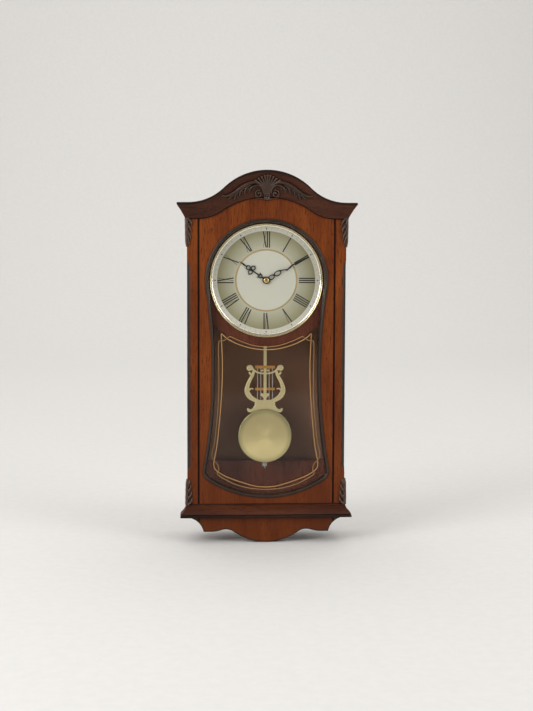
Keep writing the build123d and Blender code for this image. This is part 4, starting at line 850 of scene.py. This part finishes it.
def opening_moulding():
    """A half-round bead on the panel, a small hollow beside it, and a slope down to the glass."""
    half = BEAD / 2
    section = [(0, FRONT + SINK)]
    section += [(half + half * c, FRONT - BEAD_PROUD * s) for c, s in arc(math.pi, 0, 10)]
    section += [(BEAD + inset * MM, FRONT + depth * MM) for inset, depth in BEAD_HOLLOW]
    section += [(MOULDING, GLASS_FRONT - 0.1 * MM), (BEAD, GLASS_FRONT - 0.1 * MM)]
    section += [(BEAD, FRONT + 1.2 * MM), (BEAD * 0.6, FRONT + SINK)]
    outlines = [opening_outline(inset) for inset, _ in section]
    rings = [[(x, y, z) for (x, z), (_, y) in zip(spots, section)] for spots in zip(*outlines)]
    add_piece("opening_frame", skin(rings, round_trip=True), MOULDING_WOOD,
              ["opening_moulding"])


# ---- gold lines on the glass
LINE_FRONT = GLASS_FRONT - 0.05 * MM
LINE_BACK = GLASS_FRONT + 0.02 * MM
MAIN_LINE, THIN_LINE = 1.5 * MM, 1 * MM


def ribbon(path, width):
    """Points and faces of a thin flat line in front of the glass along (x, z) points."""
    half, rings = width / 2, []
    for x, z, nx, nz in with_normals(path):
        edges = (x + nx * half, z + nz * half), (x - nx * half, z - nz * half)
        rings.append([(edge[0], y, edge[1]) for edge, y in zip(edges + edges[::-1],
            (LINE_FRONT, LINE_FRONT, LINE_BACK, LINE_BACK))])
    return skin(rings)


def in_mm(points):
    return [(x * MM, z * MM) for x, z in points]


def gold_lines():
    """Two lines that follow the opening and knot at its four corners; right half, then mirrored."""
    apex, top_mid = (82.6, -194.8), (0, -225.4)
    main_top = smooth_path([top_mid, (24.5, -222.8), (47.5, -216.4), (61.4, -210.3), (72.9, -203.7),
        apex])
    main_side = smooth_path([apex, (81.5, -217.3), (80.2, -259.4), (82.4, -318.3), (89.1, -392.3),
        (94.1, -423), (95.9, -433), (94.6, -443.5), (87.6, -450.8), (74.5, -458.7), (55.6, -466.4),
        (36.4, -472.7), (18.4, -477.6), (0, -479.3)])
    thin_top = smooth_path([(0, -220.3), (24.5, -217), (47.6, -209.1), (66.4, -200.6)])
    thin_knot = [(66.4, -200.6), (77.5, -208.2), (86.8, -209)]
    thin_side = smooth_path([(86.8, -209), (87.5, -226.4), (86.9, -262), (87.3, -318.3), (94.1, -392.2),
        (98, -409), (99.5, -420.5), (96.5, -428.5), (90.6, -434.3), (87.2, -440.9), (86.9, -447.4),
        (89.4, -452.4), (86, -457.8), (74.5, -464.8), (55.6, -474.1), (28.2, -481.4), (0, -483.9)])
    parts = []
    for path in (main_top, main_side, thin_top, thin_knot, thin_side):
        right = ribbon(in_mm(path), MAIN_LINE if path in (main_top, main_side) else THIN_LINE)
        parts += [right, mirrored(right)]
    add_piece("gold_lines", joined(parts), GOLD_PRINT)


# ---- corner strips
STRIP_TOP, STRIP_BOTTOM = -60 * MM, -450 * MM
STRIP_END = 12 * MM
STRIP = 6 * MM
STRIP_SWELL = 0.154        # height of its swell on each face, as a share of its reach


def strip_size(z):
    """Share of the full chamfer at a height, with a hollow run-out at both ends."""
    near = min(STRIP_TOP - z, z - STRIP_BOTTOM) / STRIP_END
    if near >= 1:
        return 1
    return 0.08 + 0.92 * math.sin(max(near, 0) * math.pi / 2) ** 1.4


def corner_strips():
    """A dark, slightly swollen strip on each of the case's two stopped chamfers."""
    heights = [STRIP_TOP - STRIP_END * i / 10 for i in range(11)]
    heights += list(np.linspace(STRIP_TOP - STRIP_END, STRIP_BOTTOM + STRIP_END, 9)[1:])
    heights += [STRIP_BOTTOM + STRIP_END - STRIP_END * i / 10 for i in range(1, 11)]
    rings = []
    for z in heights:
        reach, ring = STRIP * strip_size(z), []
        for i in range(9):
            along, swell = reach * i / 8, STRIP_SWELL * reach * math.sin(math.pi * i / 8)
            ring.append((CASE_HALF - reach + along + swell, FRONT + along - swell, z))
        ring.append((CASE_HALF - reach / 2 - SINK, FRONT + reach / 2 + SINK, z))
        rings.append(ring)
    right = skin(rings)
    add_piece("corner_strips", joined([right, mirrored(right)]), STRIP_WOOD,
              ["corner_beads"])


# ---- carvings on the crown
def crown_surface(x_mm, z_mm):
    """y in mm of the crown's cove at (x, z), on the panel below its foot."""
    y = np.empty(x_mm.shape)
    for index, x in np.ndenumerate(x_mm):
        foot, lip = crown_foot(x * MM), crown_under_lip(x * MM)
        share = (z_mm[index] * MM - foot) / (lip - foot)
        out = 0 if share < 0 else crown_out(min(share, 1))
        y[index] = (FRONT - out) / MM
    return y


def shell_strokes():
    """A nine-lobed fan that flares out of a fluted block between two scrolls."""
    strokes = []
    for lobe in range(-4, 5):
        side, share = math.copysign(1, lobe), abs(lobe) / 4
        tip = (side * 21.5 * share ** 1.05, 89.5 - 9 * share ** 1.8)
        bend = (side * 10.5 * share ** 1.3, 73.5)
        strokes.append(smooth_path([(side * 4.4 * share, 59, 1), (side * 6.6 * share, 67, 1.3),
            (*bend, 1.7), (*tip, 2.7)], 5))
    for flute in (-4.2, -1.4, 1.4, 4.2):
        strokes.append([(flute, 58.5, 1.5), (flute * 0.9, 48, 1.6)])
    scroll = spiral((15, 57.6), 6.7, 2.4, 95, -1.15, 1.7, 1.5)
    sweep = smooth_path([(4.5, 48.6, 1.7), (10, 49.4, 1.6), (16, 50.3, 1.6), (20.5, 53.4, 1.7)], 5)
    strokes += with_mirror([scroll, sweep, [(15.2, 58.2, 2.5), (15.3, 58.3, 2.5)]])
    return strokes


def spray_strokes():
    """The acanthus branch on the right: a broad band, and leaflets that curl down from it."""
    band = [(13, 75, 2), (21, 77.8, 2.9), (30, 76.4, 3.4), (38.5, 73, 3.7),
        (47.5, 67.6, 3.7), (56.5, 61, 3.4), (65.5, 55.6, 2.8), (73.5, 52.8, 2.2), (80.5, 53.2, 1.5)]
    arch = [(6.8, 59.5, 1.4), (8.6, 67, 1.6), (13.6, 72, 1.8), (20.5, 72.8, 2), (27, 70, 2.4),
        (31.3, 65.4, 2.2), (32.4, 61.2, 1.3)]
    curls = [[(30.5, 73, 2.1), (36.2, 69.8, 2.4), (40, 64.2, 2.3), (41.4, 58.4, 1.3)],
        [(40, 69.4, 2.1), (45.6, 65, 2.4), (49, 59.2, 2.1), (50.2, 53.6, 1.2)],
        [(49, 63.4, 2.1), (54.2, 58.8, 2.3), (57.6, 53.4, 2), (59.2, 48.4, 1.2)],
        [(58, 57.4, 2.1), (63, 53.8, 2.1), (67.2, 50.2, 1.6), (70.4, 48.4, 0.9)]]
    buds = [[(24.5, 68.6, 1.4), (25.8, 65.4, 0.8)], [(34.4, 66.4, 1.5), (35.4, 62.6, 0.8)],
        [(44, 61.6, 1.5), (44.8, 57.8, 0.8)], [(52.8, 55.6, 1.4), (53.6, 51.8, 0.8)]]
    return [smooth_path(path, 5) for path in [band, arch] + curls] + buds


CARVING_FRONT = low("shell_carving").y / MM
CARVING_STEP = 0.45
CARVING_BED = 0.5          # mm that a carving's edge stands on the crown
CARVING_SINK = 0.35        # and how deep its back lies in it


def carving(name, strokes, node, peak, one_side):
    """A rounded carving laid on the crown; both halves when the strokes are one side's."""
    def top(x, z, distance, coil):
        return np.maximum(crown_surface(x, z) - CARVING_BED - peak * coil, CARVING_FRONT)

    def bottom(x, z):
        return crown_surface(x, z) + CARVING_SINK

    part = relief(strokes, CARVING_STEP, top, bottom)
    halves = [part, mirrored(part)] if one_side else [part]
    add_piece(name, joined(halves), CARVED_WOOD, [node], angle=60)


# ---- carvings on the corners
CORNER_PROUD = 5.6
CORNER_BED = 0.7
CORNER_STEP = 0.55
CORNER_SINK = 0.4          # how deep the leaf reaches into the case
ARRIS_ROUND = 1.6          # mm across the arris over which its ridges turn the corner
CORNER_HALF = 12.6
CORNER_LONG = 50
CORNER_ENDS = ((13.5, -1, 52), (-509.5, 1, 48.5))    # end height, way it grows, length


def corner_leaf():
    """One half of a corner leaf in (across, along) mm, across 0 being the case's arris:
    a flat bed, and the ridges carved on it."""
    bed = [[(0, 0, 7.4), (0, 22, 5.6), (0, 38, 3.4), (0, 48, 1.4)]]
    ridges = [[(0, 0, 2.4), (0, 13, 2.6), (0, 28, 2.3), (0, 40, 2.2), (0, CORNER_LONG, 1)]]
    for along, reach, width in ((-1, 8.6, 2.5), (11, 7.6, 2.4), (23.5, 6.2, 2.2), (34, 4.4, 1.8)):
        ridges.append([(1.2, along, width), (reach * 0.55, along + 4, width),
            (reach * 0.92, along + 9, width * 0.85), (reach, along + 13, width * 0.4)])
        ridges.append([(reach * 0.45, along + 9, 0.9), (reach * 0.6, along + 14, 0.5)])
    return with_mirror(bed), with_mirror(ridges)


def corner_carvings():
    """Leaves wrapped round the case's front corners, above and below the strips."""
    bed, ridges = corner_leaf()
    across = np.arange(-CORNER_HALF, CORNER_HALF + 0.01, CORNER_STEP)
    along = np.arange(-1, CORNER_LONG, CORNER_STEP)
    ga, gl = np.meshgrid(across, along, indexing="ij")
    distance = stroke_field(ga, gl, bed + ridges)[0]
    rise = CORNER_BED + CORNER_PROUD * stroke_field(ga, gl, ridges)[1]
    parts = []
    for end_z, direction, span in CORNER_ENDS:
        part = wrapped(ga, gl * span / CORNER_LONG, whole_cells(distance < 0), rise, end_z, direction)
        parts += [part, mirrored(part)]
    add_piece("corner_leaves", joined(parts), CARVED_WOOD, ["corner_carvings"], angle=60)


def wrapped(across, along, keep, rise, end_z, direction):
    """A kept grid bent round the front right arris of the case, in metres."""
    def place(i, j, front):
        a, out = across[i, j], rise[i, j] if front else -CORNER_SINK
        side = 0.5 + 0.5 * math.tanh(a / ARRIS_ROUND)
        length = math.hypot(side, 1 - side)
        x, y = min(a, 0) + out * side / length, max(a, 0) - out * (1 - side) / length
        return CASE_HALF + x * MM, FRONT + y * MM, (end_z + direction * along[i, j]) * MM

    return grid_solid(keep, place)


# ---- dial
RING_R = 55.6 * MM
RING_W = 3 * MM
TRACK_IN, TRACK_OUT = 89.8 * MM, 96.4 * MM
NUMERAL_IN, NUMERAL_OUT = 60, 89
CENTRE_HOLE = 4.4 * MM
PRINT_BACK = DIAL_FRONT + 0.05 * MM
PRINT, MARK = 0.10 * MM, 0.18 * MM         # how proud the numerals and the minute marks are
SERIF_OUT, SERIF_HALF = 0.45, 0.15
THICK, THIN = 2.05, 0.65
STROKE_GAP = 3.8


def washer(inner, outer, y_front, y_back):
    return turned([(inner, y_back), (outer, y_back), (outer, y_front), (inner, y_front)], DIAL_Z, 160)


def dial_discs():
    """The plain centre, the minute band and the printed ring, each a thin washer on the plate."""
    half = RING_W / 2
    for name, inner, outer, proud, material in (
            ("dial_centre", CENTRE_HOLE, RING_R, 0.10, CENTRE_METAL),
            ("minute_band", TRACK_IN, TRACK_OUT, 0.12, TRACK_METAL),
            ("dial_ring", RING_R - half, RING_R + half, 0.22, RING_PRINT)):
        part = washer(inner, outer, DIAL_FRONT - proud * MM, PRINT_BACK)
        add_piece(name, part, material)


LETTERS = {                # advance, and bars (foot x, head x, width), in mm
    "I": (STROKE_GAP, [(0, 0, THICK)]),
    "V": (7.2, [(2.6, -0.6, THICK), (2.6, 5.4, THIN)]),
    "X": (7, [(4.6, -0.4, THICK), (-0.4, 4.6, THIN)])}


def numeral_bars(text):
    """Slanted bars (foot x, head x, width) of a Roman numeral, centred on zero."""
    bars, cursor = [], 0
    for letter in text:
        advance, strokes = LETTERS[letter]
        bars += [(cursor + foot, cursor + head, width) for foot, head, width in strokes]
        cursor += advance
    every = [x for bar in bars for x in bar[:2]]
    middle = (min(every) + max(every)) / 2
    return [(foot - middle, head - middle, width) for foot, head, width in bars]


def turned_plate(corners, turn, proud):
    """A print drawn in mm pointing up from the dial's middle, turned clockwise."""
    s, c = math.sin(turn), math.cos(turn)
    outline = [((x * c + z * s) * MM, DIAL_Z + (z * c - x * s) * MM) for x, z in corners]
    return plate(outline, DIAL_FRONT - proud, PRINT_BACK)


def numerals():
    parts = []
    texts = ("XII", "I", "II", "III", "IIII", "V", "VI", "VII", "VIII", "IX", "X", "XI")
    for hour, text in enumerate(texts):
        turn = math.radians(30 * hour)
        for foot, head, width in numeral_bars(text):
            half = width / 2
            bar = box_outline(foot, head, half, NUMERAL_IN, NUMERAL_OUT)
            parts.append(turned_plate(bar, turn, PRINT))
            for x, z in ((foot, NUMERAL_IN), (head, NUMERAL_OUT)):
                serif = box_outline(x, x, SERIF_OUT + half, z - SERIF_HALF, z + SERIF_HALF)
                parts.append(turned_plate(serif, turn, PRINT))
    add_piece("numerals", joined(parts), BLACK_PRINT)


TICK = 0.34
TICK_IN, TICK_OUT = 92.2, 95.2
HOUR_DOT = 1.7


def minute_marks():
    parts = []
    middle, wide = (TICK_IN + TICK_OUT) / 2, HOUR_DOT * 0.8
    dot = [(0, middle - HOUR_DOT), (wide, middle), (0, middle + HOUR_DOT), (-wide, middle)]
    tick = box_outline(0, 0, TICK / 2, TICK_IN, TICK_OUT)
    for minute in range(60):
        mark = tick if minute % 5 else dot
        parts.append(turned_plate(mark, math.radians(6 * minute), MARK))
    add_piece("minute_marks", joined(parts), BLACK_PRINT)


BEZEL_ROLL = 1.5 * MM      # radius of the rolled brass ring
BEVEL_IN = 96.2 * MM
BEVEL_SAG = 0.35           # how far the bevel hollows on its way down, as a share of its drop


def bezel():
    """A rolled brass ring, and the bevel that falls from it to the dial, in a near-white brass that
    paints its highlight.
    """
    lo, outer = low("dial_bezel").y, high("dial_bezel").x
    crease, roll_foot, start = outer - 2 * BEZEL_ROLL, lo + 2.2 * MM, lo + 1.7 * MM
    roll = [(outer - BEZEL_ROLL * (1 - c), lo + BEZEL_ROLL * (1 - s)) for c, s in arc(0, math.pi, 12)]
    profile = [(outer, roll_foot)] + roll + [(crease, roll_foot), (outer - BEZEL_ROLL, lo + 3 * MM)]
    add_piece("bezel", turned(profile, DIAL_Z, 200), BEZEL_BRASS, ["dial_bezel"])
    foot, lap = DIAL_FRONT - 0.14 * MM, crease + SINK
    slope = [(lap, start)]
    for step in range(1, 9):
        t = step / 8
        sag = BEVEL_SAG * math.sin(math.pi * t)
        slope.append((crease + (BEVEL_IN - crease) * t, start + (foot - start) * (t - sag)))
    slope += [(BEVEL_IN + 0.3 * MM, foot + 0.1 * MM), (lap, foot + 0.1 * MM)]
    add_piece("bezel_bevel", turned(slope, DIAL_Z, 200), BEVEL_HIGHLIGHT_BRASS)


# ---- hands
HAND_STEP = 0.22
HOUR_TURN, MINUTE_TURN = math.radians(-55), math.radians(60)
HOUR_REACH, MINUTE_REACH = 59.5, 88


def loop(x, z, radius, width):
    return [(x + radius * c, z + radius * s, width) for c, s in arc(0, 2 * math.pi, 20)]


def hour_strokes():
    """The hour hand drawn upwards: hub, small loop, stem, three rings with spurs, spear tip."""
    strokes = [[(0, 0, 6.5), (0, 1, 6.5)], [(0, 6, 1.8), (0, 10, 1.2)]]
    strokes += [loop(0, 13.4, 3, 0.95), [(-3.2, 15.4, 1.1), (-5, 17.6, 0.5)],
        [(3.2, 15.4, 1.1), (5, 17.6, 0.5)], [(0, 16, 1.6), (0, 20, 1.1), (0, 29, 1.1)]]
    strokes += [loop(4.5, 32.6, 3.6, 0.9), loop(-4.5, 32.6, 3.6, 0.9), loop(0, 40.6, 3.6, 0.9)]
    strokes += [[(8, 32, 1), (10.2, 32.4, 0.5)], [(-8, 32, 1), (-10.2, 32.4, 0.5)],
        [(0, 26.5, 1.2), (0, 37, 0.8)],
        [(0, 43.5, 1.3), (0, 47, 1), (0, 50.5, 1.7), (0, HOUR_REACH, 0.3)]]
    return strokes


def minute_strokes():
    """The minute hand drawn upwards: hub, two open twists, a wavy stem and a fine tip."""
    strokes = [[(0, 0, 6.6), (0, 1, 6.6)]]
    sway = [(1, 4.5, 1.3), (3.2, 8.5, 0.95), (3, 13.5, 0.95), (-1.2, 18, 1.25)]
    back = [(-1, 4.5, 1.3), (-3.4, 8, 0.95), (-3.8, 12.5, 0.95), (-1.6, 17, 1.4)]
    upper = [(-1.6, 17.5, 1.3), (1.6, 19.5, 0.95), (3, 24, 0.95), (1.4, 29.5, 0.95), (-2.4, 31, 1.1)]
    curl = [(-1.6, 17.5, 1.3), (-4.2, 20.5, 0.9), (-4.6, 26, 0.9), (-3, 30.5, 1.5)]
    wave = [(-2.6, 30.5, 1.5), (-1.6, 34.5, 1), (-0.2, 38.5, 1), (2.2, 42.6, 1.5), (1.5, 46, 1),
        (0.9, 49.5, 1.6), (-0.7, 56, 1.2), (0, 61, 1.1), (0, MINUTE_REACH, 0.5)]
    return strokes + [smooth_path(path, 6) for path in (sway, back, upper, curl, wave)]


def spot(x, z, radius):
    """A round stroke."""
    return [(x, z, radius), (x, z + 0.001, radius)]


def stamped(strokes, node, step, drop, over, holes):
    """A plate as deep as its CAD node; the front drops towards its edges, over a width in mm."""
    front, back = low(node).y / MM, high(node).y / MM

    def top(x, z, distance, coil):
        return front + drop * np.clip(1 + distance / over, 0, 1)

    def bottom(x, z):
        return np.full(x.shape, back)

    return relief(strokes, step, top, bottom, holes)


def hand(name, strokes, turn, node, body):
    points, faces = stamped(strokes, node, HAND_STEP, 0.12, 0.5, [spot(0, 0, 1.35)])
    s, c = math.sin(turn), math.cos(turn)
    points = [(x * c + z * s, y, DIAL_Z + z * c - x * s) for x, y, z in points]
    add_piece(name, (points, faces), BLACK_STEEL, [node], body)


# ---- pendulum
LYRE_STEP = 0.5


def lyre_strokes():
    """Right half of the stamped lyre, as strokes in mm."""
    arm = smooth_path([(20.5, -267.5, 2.3), (24, -277.5, 2.9), (30.5, -290, 3.1), (33.9, -304, 4.3),
        (29.2, -315, 4.6), (20.5, -321.5, 3.8), (11, -325.3, 3.4), (0, -326, 4.4)], 6)
    scroll = spiral((28.9, -262.9), 4.8, 1.6, 200, -1.3, 2.2, 1.6)
    swag = smooth_path([(24.4, -262, 1.5), (20, -267.2, 1.5), (12.5, -271.2, 1.45),
        (0, -273.2, 1.45)], 6)
    spur = smooth_path([(24, -275, 1.8), (27.4, -273.6, 1.7), (29, -270.9, 1.5)], 4)
    inner = smooth_path([(29, -303, 1.7), (26, -300.8, 1.3), (22.6, -301.6, 1.2)], 4)
    stem = [(0, -311, 2.2), (0, -326, 2.6)]
    bud = spiral((5.6, -312.8), 2.6, 0.9, 200, -1.1, 1.2, 0.9, 16)
    bud_arm = [(0, -319.5, 1.6), (3.6, -315.8, 1.3)]
    small = spiral((5.9, -267.2), 1.6, 0.5, 120, 1, 0.75, 0.6, 12)
    foot = smooth_path([(16, -330, 3.6), (18, -337.5, 3.4), (23.5, -342.2, 3.3),
        (29.4, -342.2, 2.9), (31.4, -339.6, 2)], 5)
    fill = [(0, -333, 11.5), (8.5, -333, 9.4)]
    low_fill = [(0, -344, 6), (18, -344.6, 4.2)]
    return [arm, swag, spur, inner, foot, scroll, stem, bud, bud_arm, small, fill, low_fill]


def lyre():
    notches = with_mirror([[(21.6, -331.2, 3), (21.7, -331.3, 3)]])
    part = stamped(with_mirror(lyre_strokes()), "lyre_plate", LYRE_STEP, 0.35, 0.9, notches)
    add_piece("lyre", part, PALE_BRASS, ["lyre_plate"], "pendulum")


BOB_DOME = 3.4 * MM        # how far the disc's middle stands out beyond its edge
BOB_ROUND = 1.6 * MM       # width of the rolled rim
BOB_RISE = 1.2 * MM        # and its height
BOB_SHEET = 0.6 * MM       # thickness of the disc
BOB_EYE = 0.05 * MM        # radius left open in the very middle


def bob():
    """Slightly domed disc with a rolled rim."""
    edge = BOB_R - BOB_ROUND

    def dome(r):
        return BOB_FRONT + BOB_DOME * (r / edge) ** 2

    profile = [(BOB_R - 2.6 * MM, BOB_BACK), (BOB_R - 0.6 * MM, BOB_BACK), (BOB_R, BOB_BACK - 1 * MM)]
    profile += [(BOB_R - BOB_ROUND * (1 - c), BOB_FRONT + BOB_DOME + BOB_RISE * (1 - s))
                for c, s in arc(0, math.pi / 2, 5)]
    front = [edge * (1 - step / 20) + BOB_EYE * step / 20 for step in range(1, 21)]
    inside = [BOB_EYE + (edge - 1.5 * MM) * step / 10 for step in range(1, 11)]
    profile += [(r, dome(r)) for r in front] + [(r, dome(r) + BOB_SHEET) for r in inside]
    add_piece("bob_disc", turned(profile, BOB_Z, 192), BOB_BRASS, ["bob_face"], "bob")


# ---- apron edge
EDGE_BAND = 1.9 * MM
EDGE_PROUD = 0.06 * MM
APRON_LOW = low("apron").z
BELLY_R, CREST_R, SWELL_R, HOLLOW_R = 100, 25.66, 55, 34    # mm


def towards(start, end, distance):
    """The point at a distance from start on the way to end."""
    share = distance / math.hypot(end[0] - start[0], end[1] - start[1])
    return start[0] + (end[0] - start[0]) * share, start[1] + (end[1] - start[1]) * share


def apron_outline():
    """Lower edge of the apron's right half in metres, from its middle outwards."""
    belly, crest, swell, hollow_centre = (0, -479.8), (74, -581.36), (100, -505), (148, -567)
    spur, swell_foot = (114.7, -560), (100, -560)
    meet, rise = towards(belly, crest, BELLY_R), towards(swell, crest, SWELL_R)
    path = arc_points(belly, BELLY_R, (0, belly[1] - BELLY_R), meet, 24)
    path += arc_points(crest, CREST_R, meet, rise, 12)
    path += arc_points(swell, SWELL_R, rise, swell_foot, 12)
    path += [swell_foot, spur]
    path += arc_points(hollow_centre, HOLLOW_R, spur, (148, -567 + HOLLOW_R), 16)[1:]
    return in_mm(path)


def apron_edge():
    """The dark rounded line that edges the apron."""
    path = apron_outline()
    full = [(-x, z) for x, z in reversed(path[1:])] + path
    face, back = low("apron").y, high("apron").y
    front, bed = face - EDGE_PROUD, face + EDGE_PROUD
    rings = []
    for x, z, nx, nz in with_normals(full):
        out_x, out_z = x - nx * EDGE_PROUD, max(z - nz * EDGE_PROUD, APRON_LOW)
        in_x, in_z = x + nx * EDGE_BAND, z + nz * EDGE_BAND
        rings.append([(out_x, front, out_z), (in_x, front, in_z), (in_x, bed, in_z),
            (x + nx * LAP, back, z + nz * LAP), (out_x, back, out_z)])
    add_piece("apron_edge", skin(rings), STRIP_WOOD)


# ---- stage, light and camera
SWEEP_START = 3.4
SWEEP_R = 2.6
STAGE_HALF = 9
STAGE_TOP = 9
STAGE_NEAR = -2.45


def paper(name):
    """Matt studio paper with a faint fibre."""
    g = Graph(name)
    fibre = g.noise(60, 4, 0.6)
    body = g.ramp(fibre, [(0.3, linear(199, 197, 194)), (0.7, linear(203, 201, 198))])
    return g.close(Base_Color=body, Roughness=0.95, Normal=g.bump(fibre, 0.02, 0.2 * MM))


def stage_sweep():
    profile = [(STAGE_NEAR, FLOOR_Z), (SWEEP_START, FLOOR_Z)]
    profile += [(SWEEP_START + SWEEP_R * s, FLOOR_Z + SWEEP_R * (1 - c))
                for c, s in arc(0, math.pi / 2, 24)[1:]]
    profile.append((SWEEP_START + SWEEP_R, STAGE_TOP))
    points, faces = [], []
    for y, z in profile:
        points += [(-STAGE_HALF, y, z), (STAGE_HALF, y, z)]
    for i in range(len(profile) - 1):
        faces.append((2 * i, 2 * i + 1, 2 * i + 3, 2 * i + 2))
    mesh = raw_mesh("studio_sweep", points, faces)
    for face in mesh.polygons:
        face.use_smooth = True
    mesh.materials.append(paper("studio_paper"))
    sweep = bpy.data.objects.new("studio_sweep", mesh)
    bpy.context.scene.collection.objects.link(sweep)


def softbox(name, place, aim, size, power, colour=(1, 1, 1)):
    light = bpy.data.lights.new(name, "AREA")
    light.shape = "RECTANGLE"
    light.size, light.size_y = size
    light.energy = power
    light.color = colour
    lamp = bpy.data.objects.new(name, light)
    lamp.location = place
    lamp.rotation_mode = "QUATERNION"
    lamp.rotation_quaternion = (Vector(aim) - Vector(place)).to_track_quat("-Z", "Y")
    bpy.context.scene.collection.objects.link(lamp)


def lighting():
    middle = (0, FRONT, (CROWN_PEAK + FLOOR_Z) / 2)
    softbox("overhead", (0, 1.9, 3.2), (0, 1.9, FLOOR_Z), (7, 7.6), 266)
    softbox("left_box", (-2.2, -1.9, 0.9), middle, (1.5, 2.2), 73)
    softbox("right_box", (2.3, -1.8, 0.7), middle, (1.4, 2), 42)
    softbox("wall_wash", (0, 2.6, 3.9), (0, 6, 1.6), (7, 1.2), 42)
    world = bpy.data.worlds.new("studio_air")
    world.use_nodes = True
    nodes, links = world.node_tree.nodes, world.node_tree.links
    sky = nodes["Background"]
    sky.inputs[0].default_value = linear(226, 223, 218)
    seen = nodes.new("ShaderNodeLightPath").outputs["Is Camera Ray"]
    strength = nodes.new("ShaderNodeMapRange")
    strength.inputs["To Min"].default_value = 0.26
    strength.inputs["To Max"].default_value = 0.92
    links.new(seen, strength.inputs["Value"])
    links.new(strength.outputs["Result"], sky.inputs[1])
    bpy.context.scene.world = world


VIEW_YAW = math.radians(3.2)
VIEW_DOWN = math.radians(5.1)
VIEW_ROLL = math.radians(0.2)
VIEW_DISTANCE = 2.5
VIEW_LENS = 69.4
VIEW_TARGET_Z = -0.235


def camera():
    target = Vector((0, FRONT, VIEW_TARGET_Z))
    view = Vector((math.sin(VIEW_YAW) * math.cos(VIEW_DOWN), math.cos(VIEW_YAW) * math.cos(VIEW_DOWN),
        -math.sin(VIEW_DOWN)))
    data = bpy.data.cameras.new("camera")
    data.lens = VIEW_LENS
    cam = bpy.data.objects.new("camera", data)
    cam.location = target - view * VIEW_DISTANCE
    cam.rotation_mode = "QUATERNION"
    turn = view.to_track_quat("-Z", "Y")
    cam.rotation_quaternion = turn @ Quaternion((0, 0, 1), VIEW_ROLL)
    bpy.context.scene.collection.objects.link(cam)
    bpy.context.scene.camera = cam


def build():
    paint_cad_nodes()
    crown_moulding()
    base_moulding()
    painted_shadow_lines()
    opening_moulding()
    gold_lines()
    corner_strips()
    carving("shell", shell_strokes(), "shell_carving", 6.2, False)
    carving("leaf_sprays", spray_strokes(), "leaf_carvings", 6, True)
    corner_carvings()
    dial_discs()
    numerals()
    minute_marks()
    bezel()
    hand("hour_pointer", hour_strokes(), HOUR_TURN, "hour_hand", "hour")
    hand("minute_pointer", minute_strokes(), MINUTE_TURN, "minute_hand", "minute")
    lyre()
    bob()
    apron_edge()
    stage_sweep()
    lighting()
    camera()


build()
bpy.context.scene.view_settings.view_transform = "Standard"
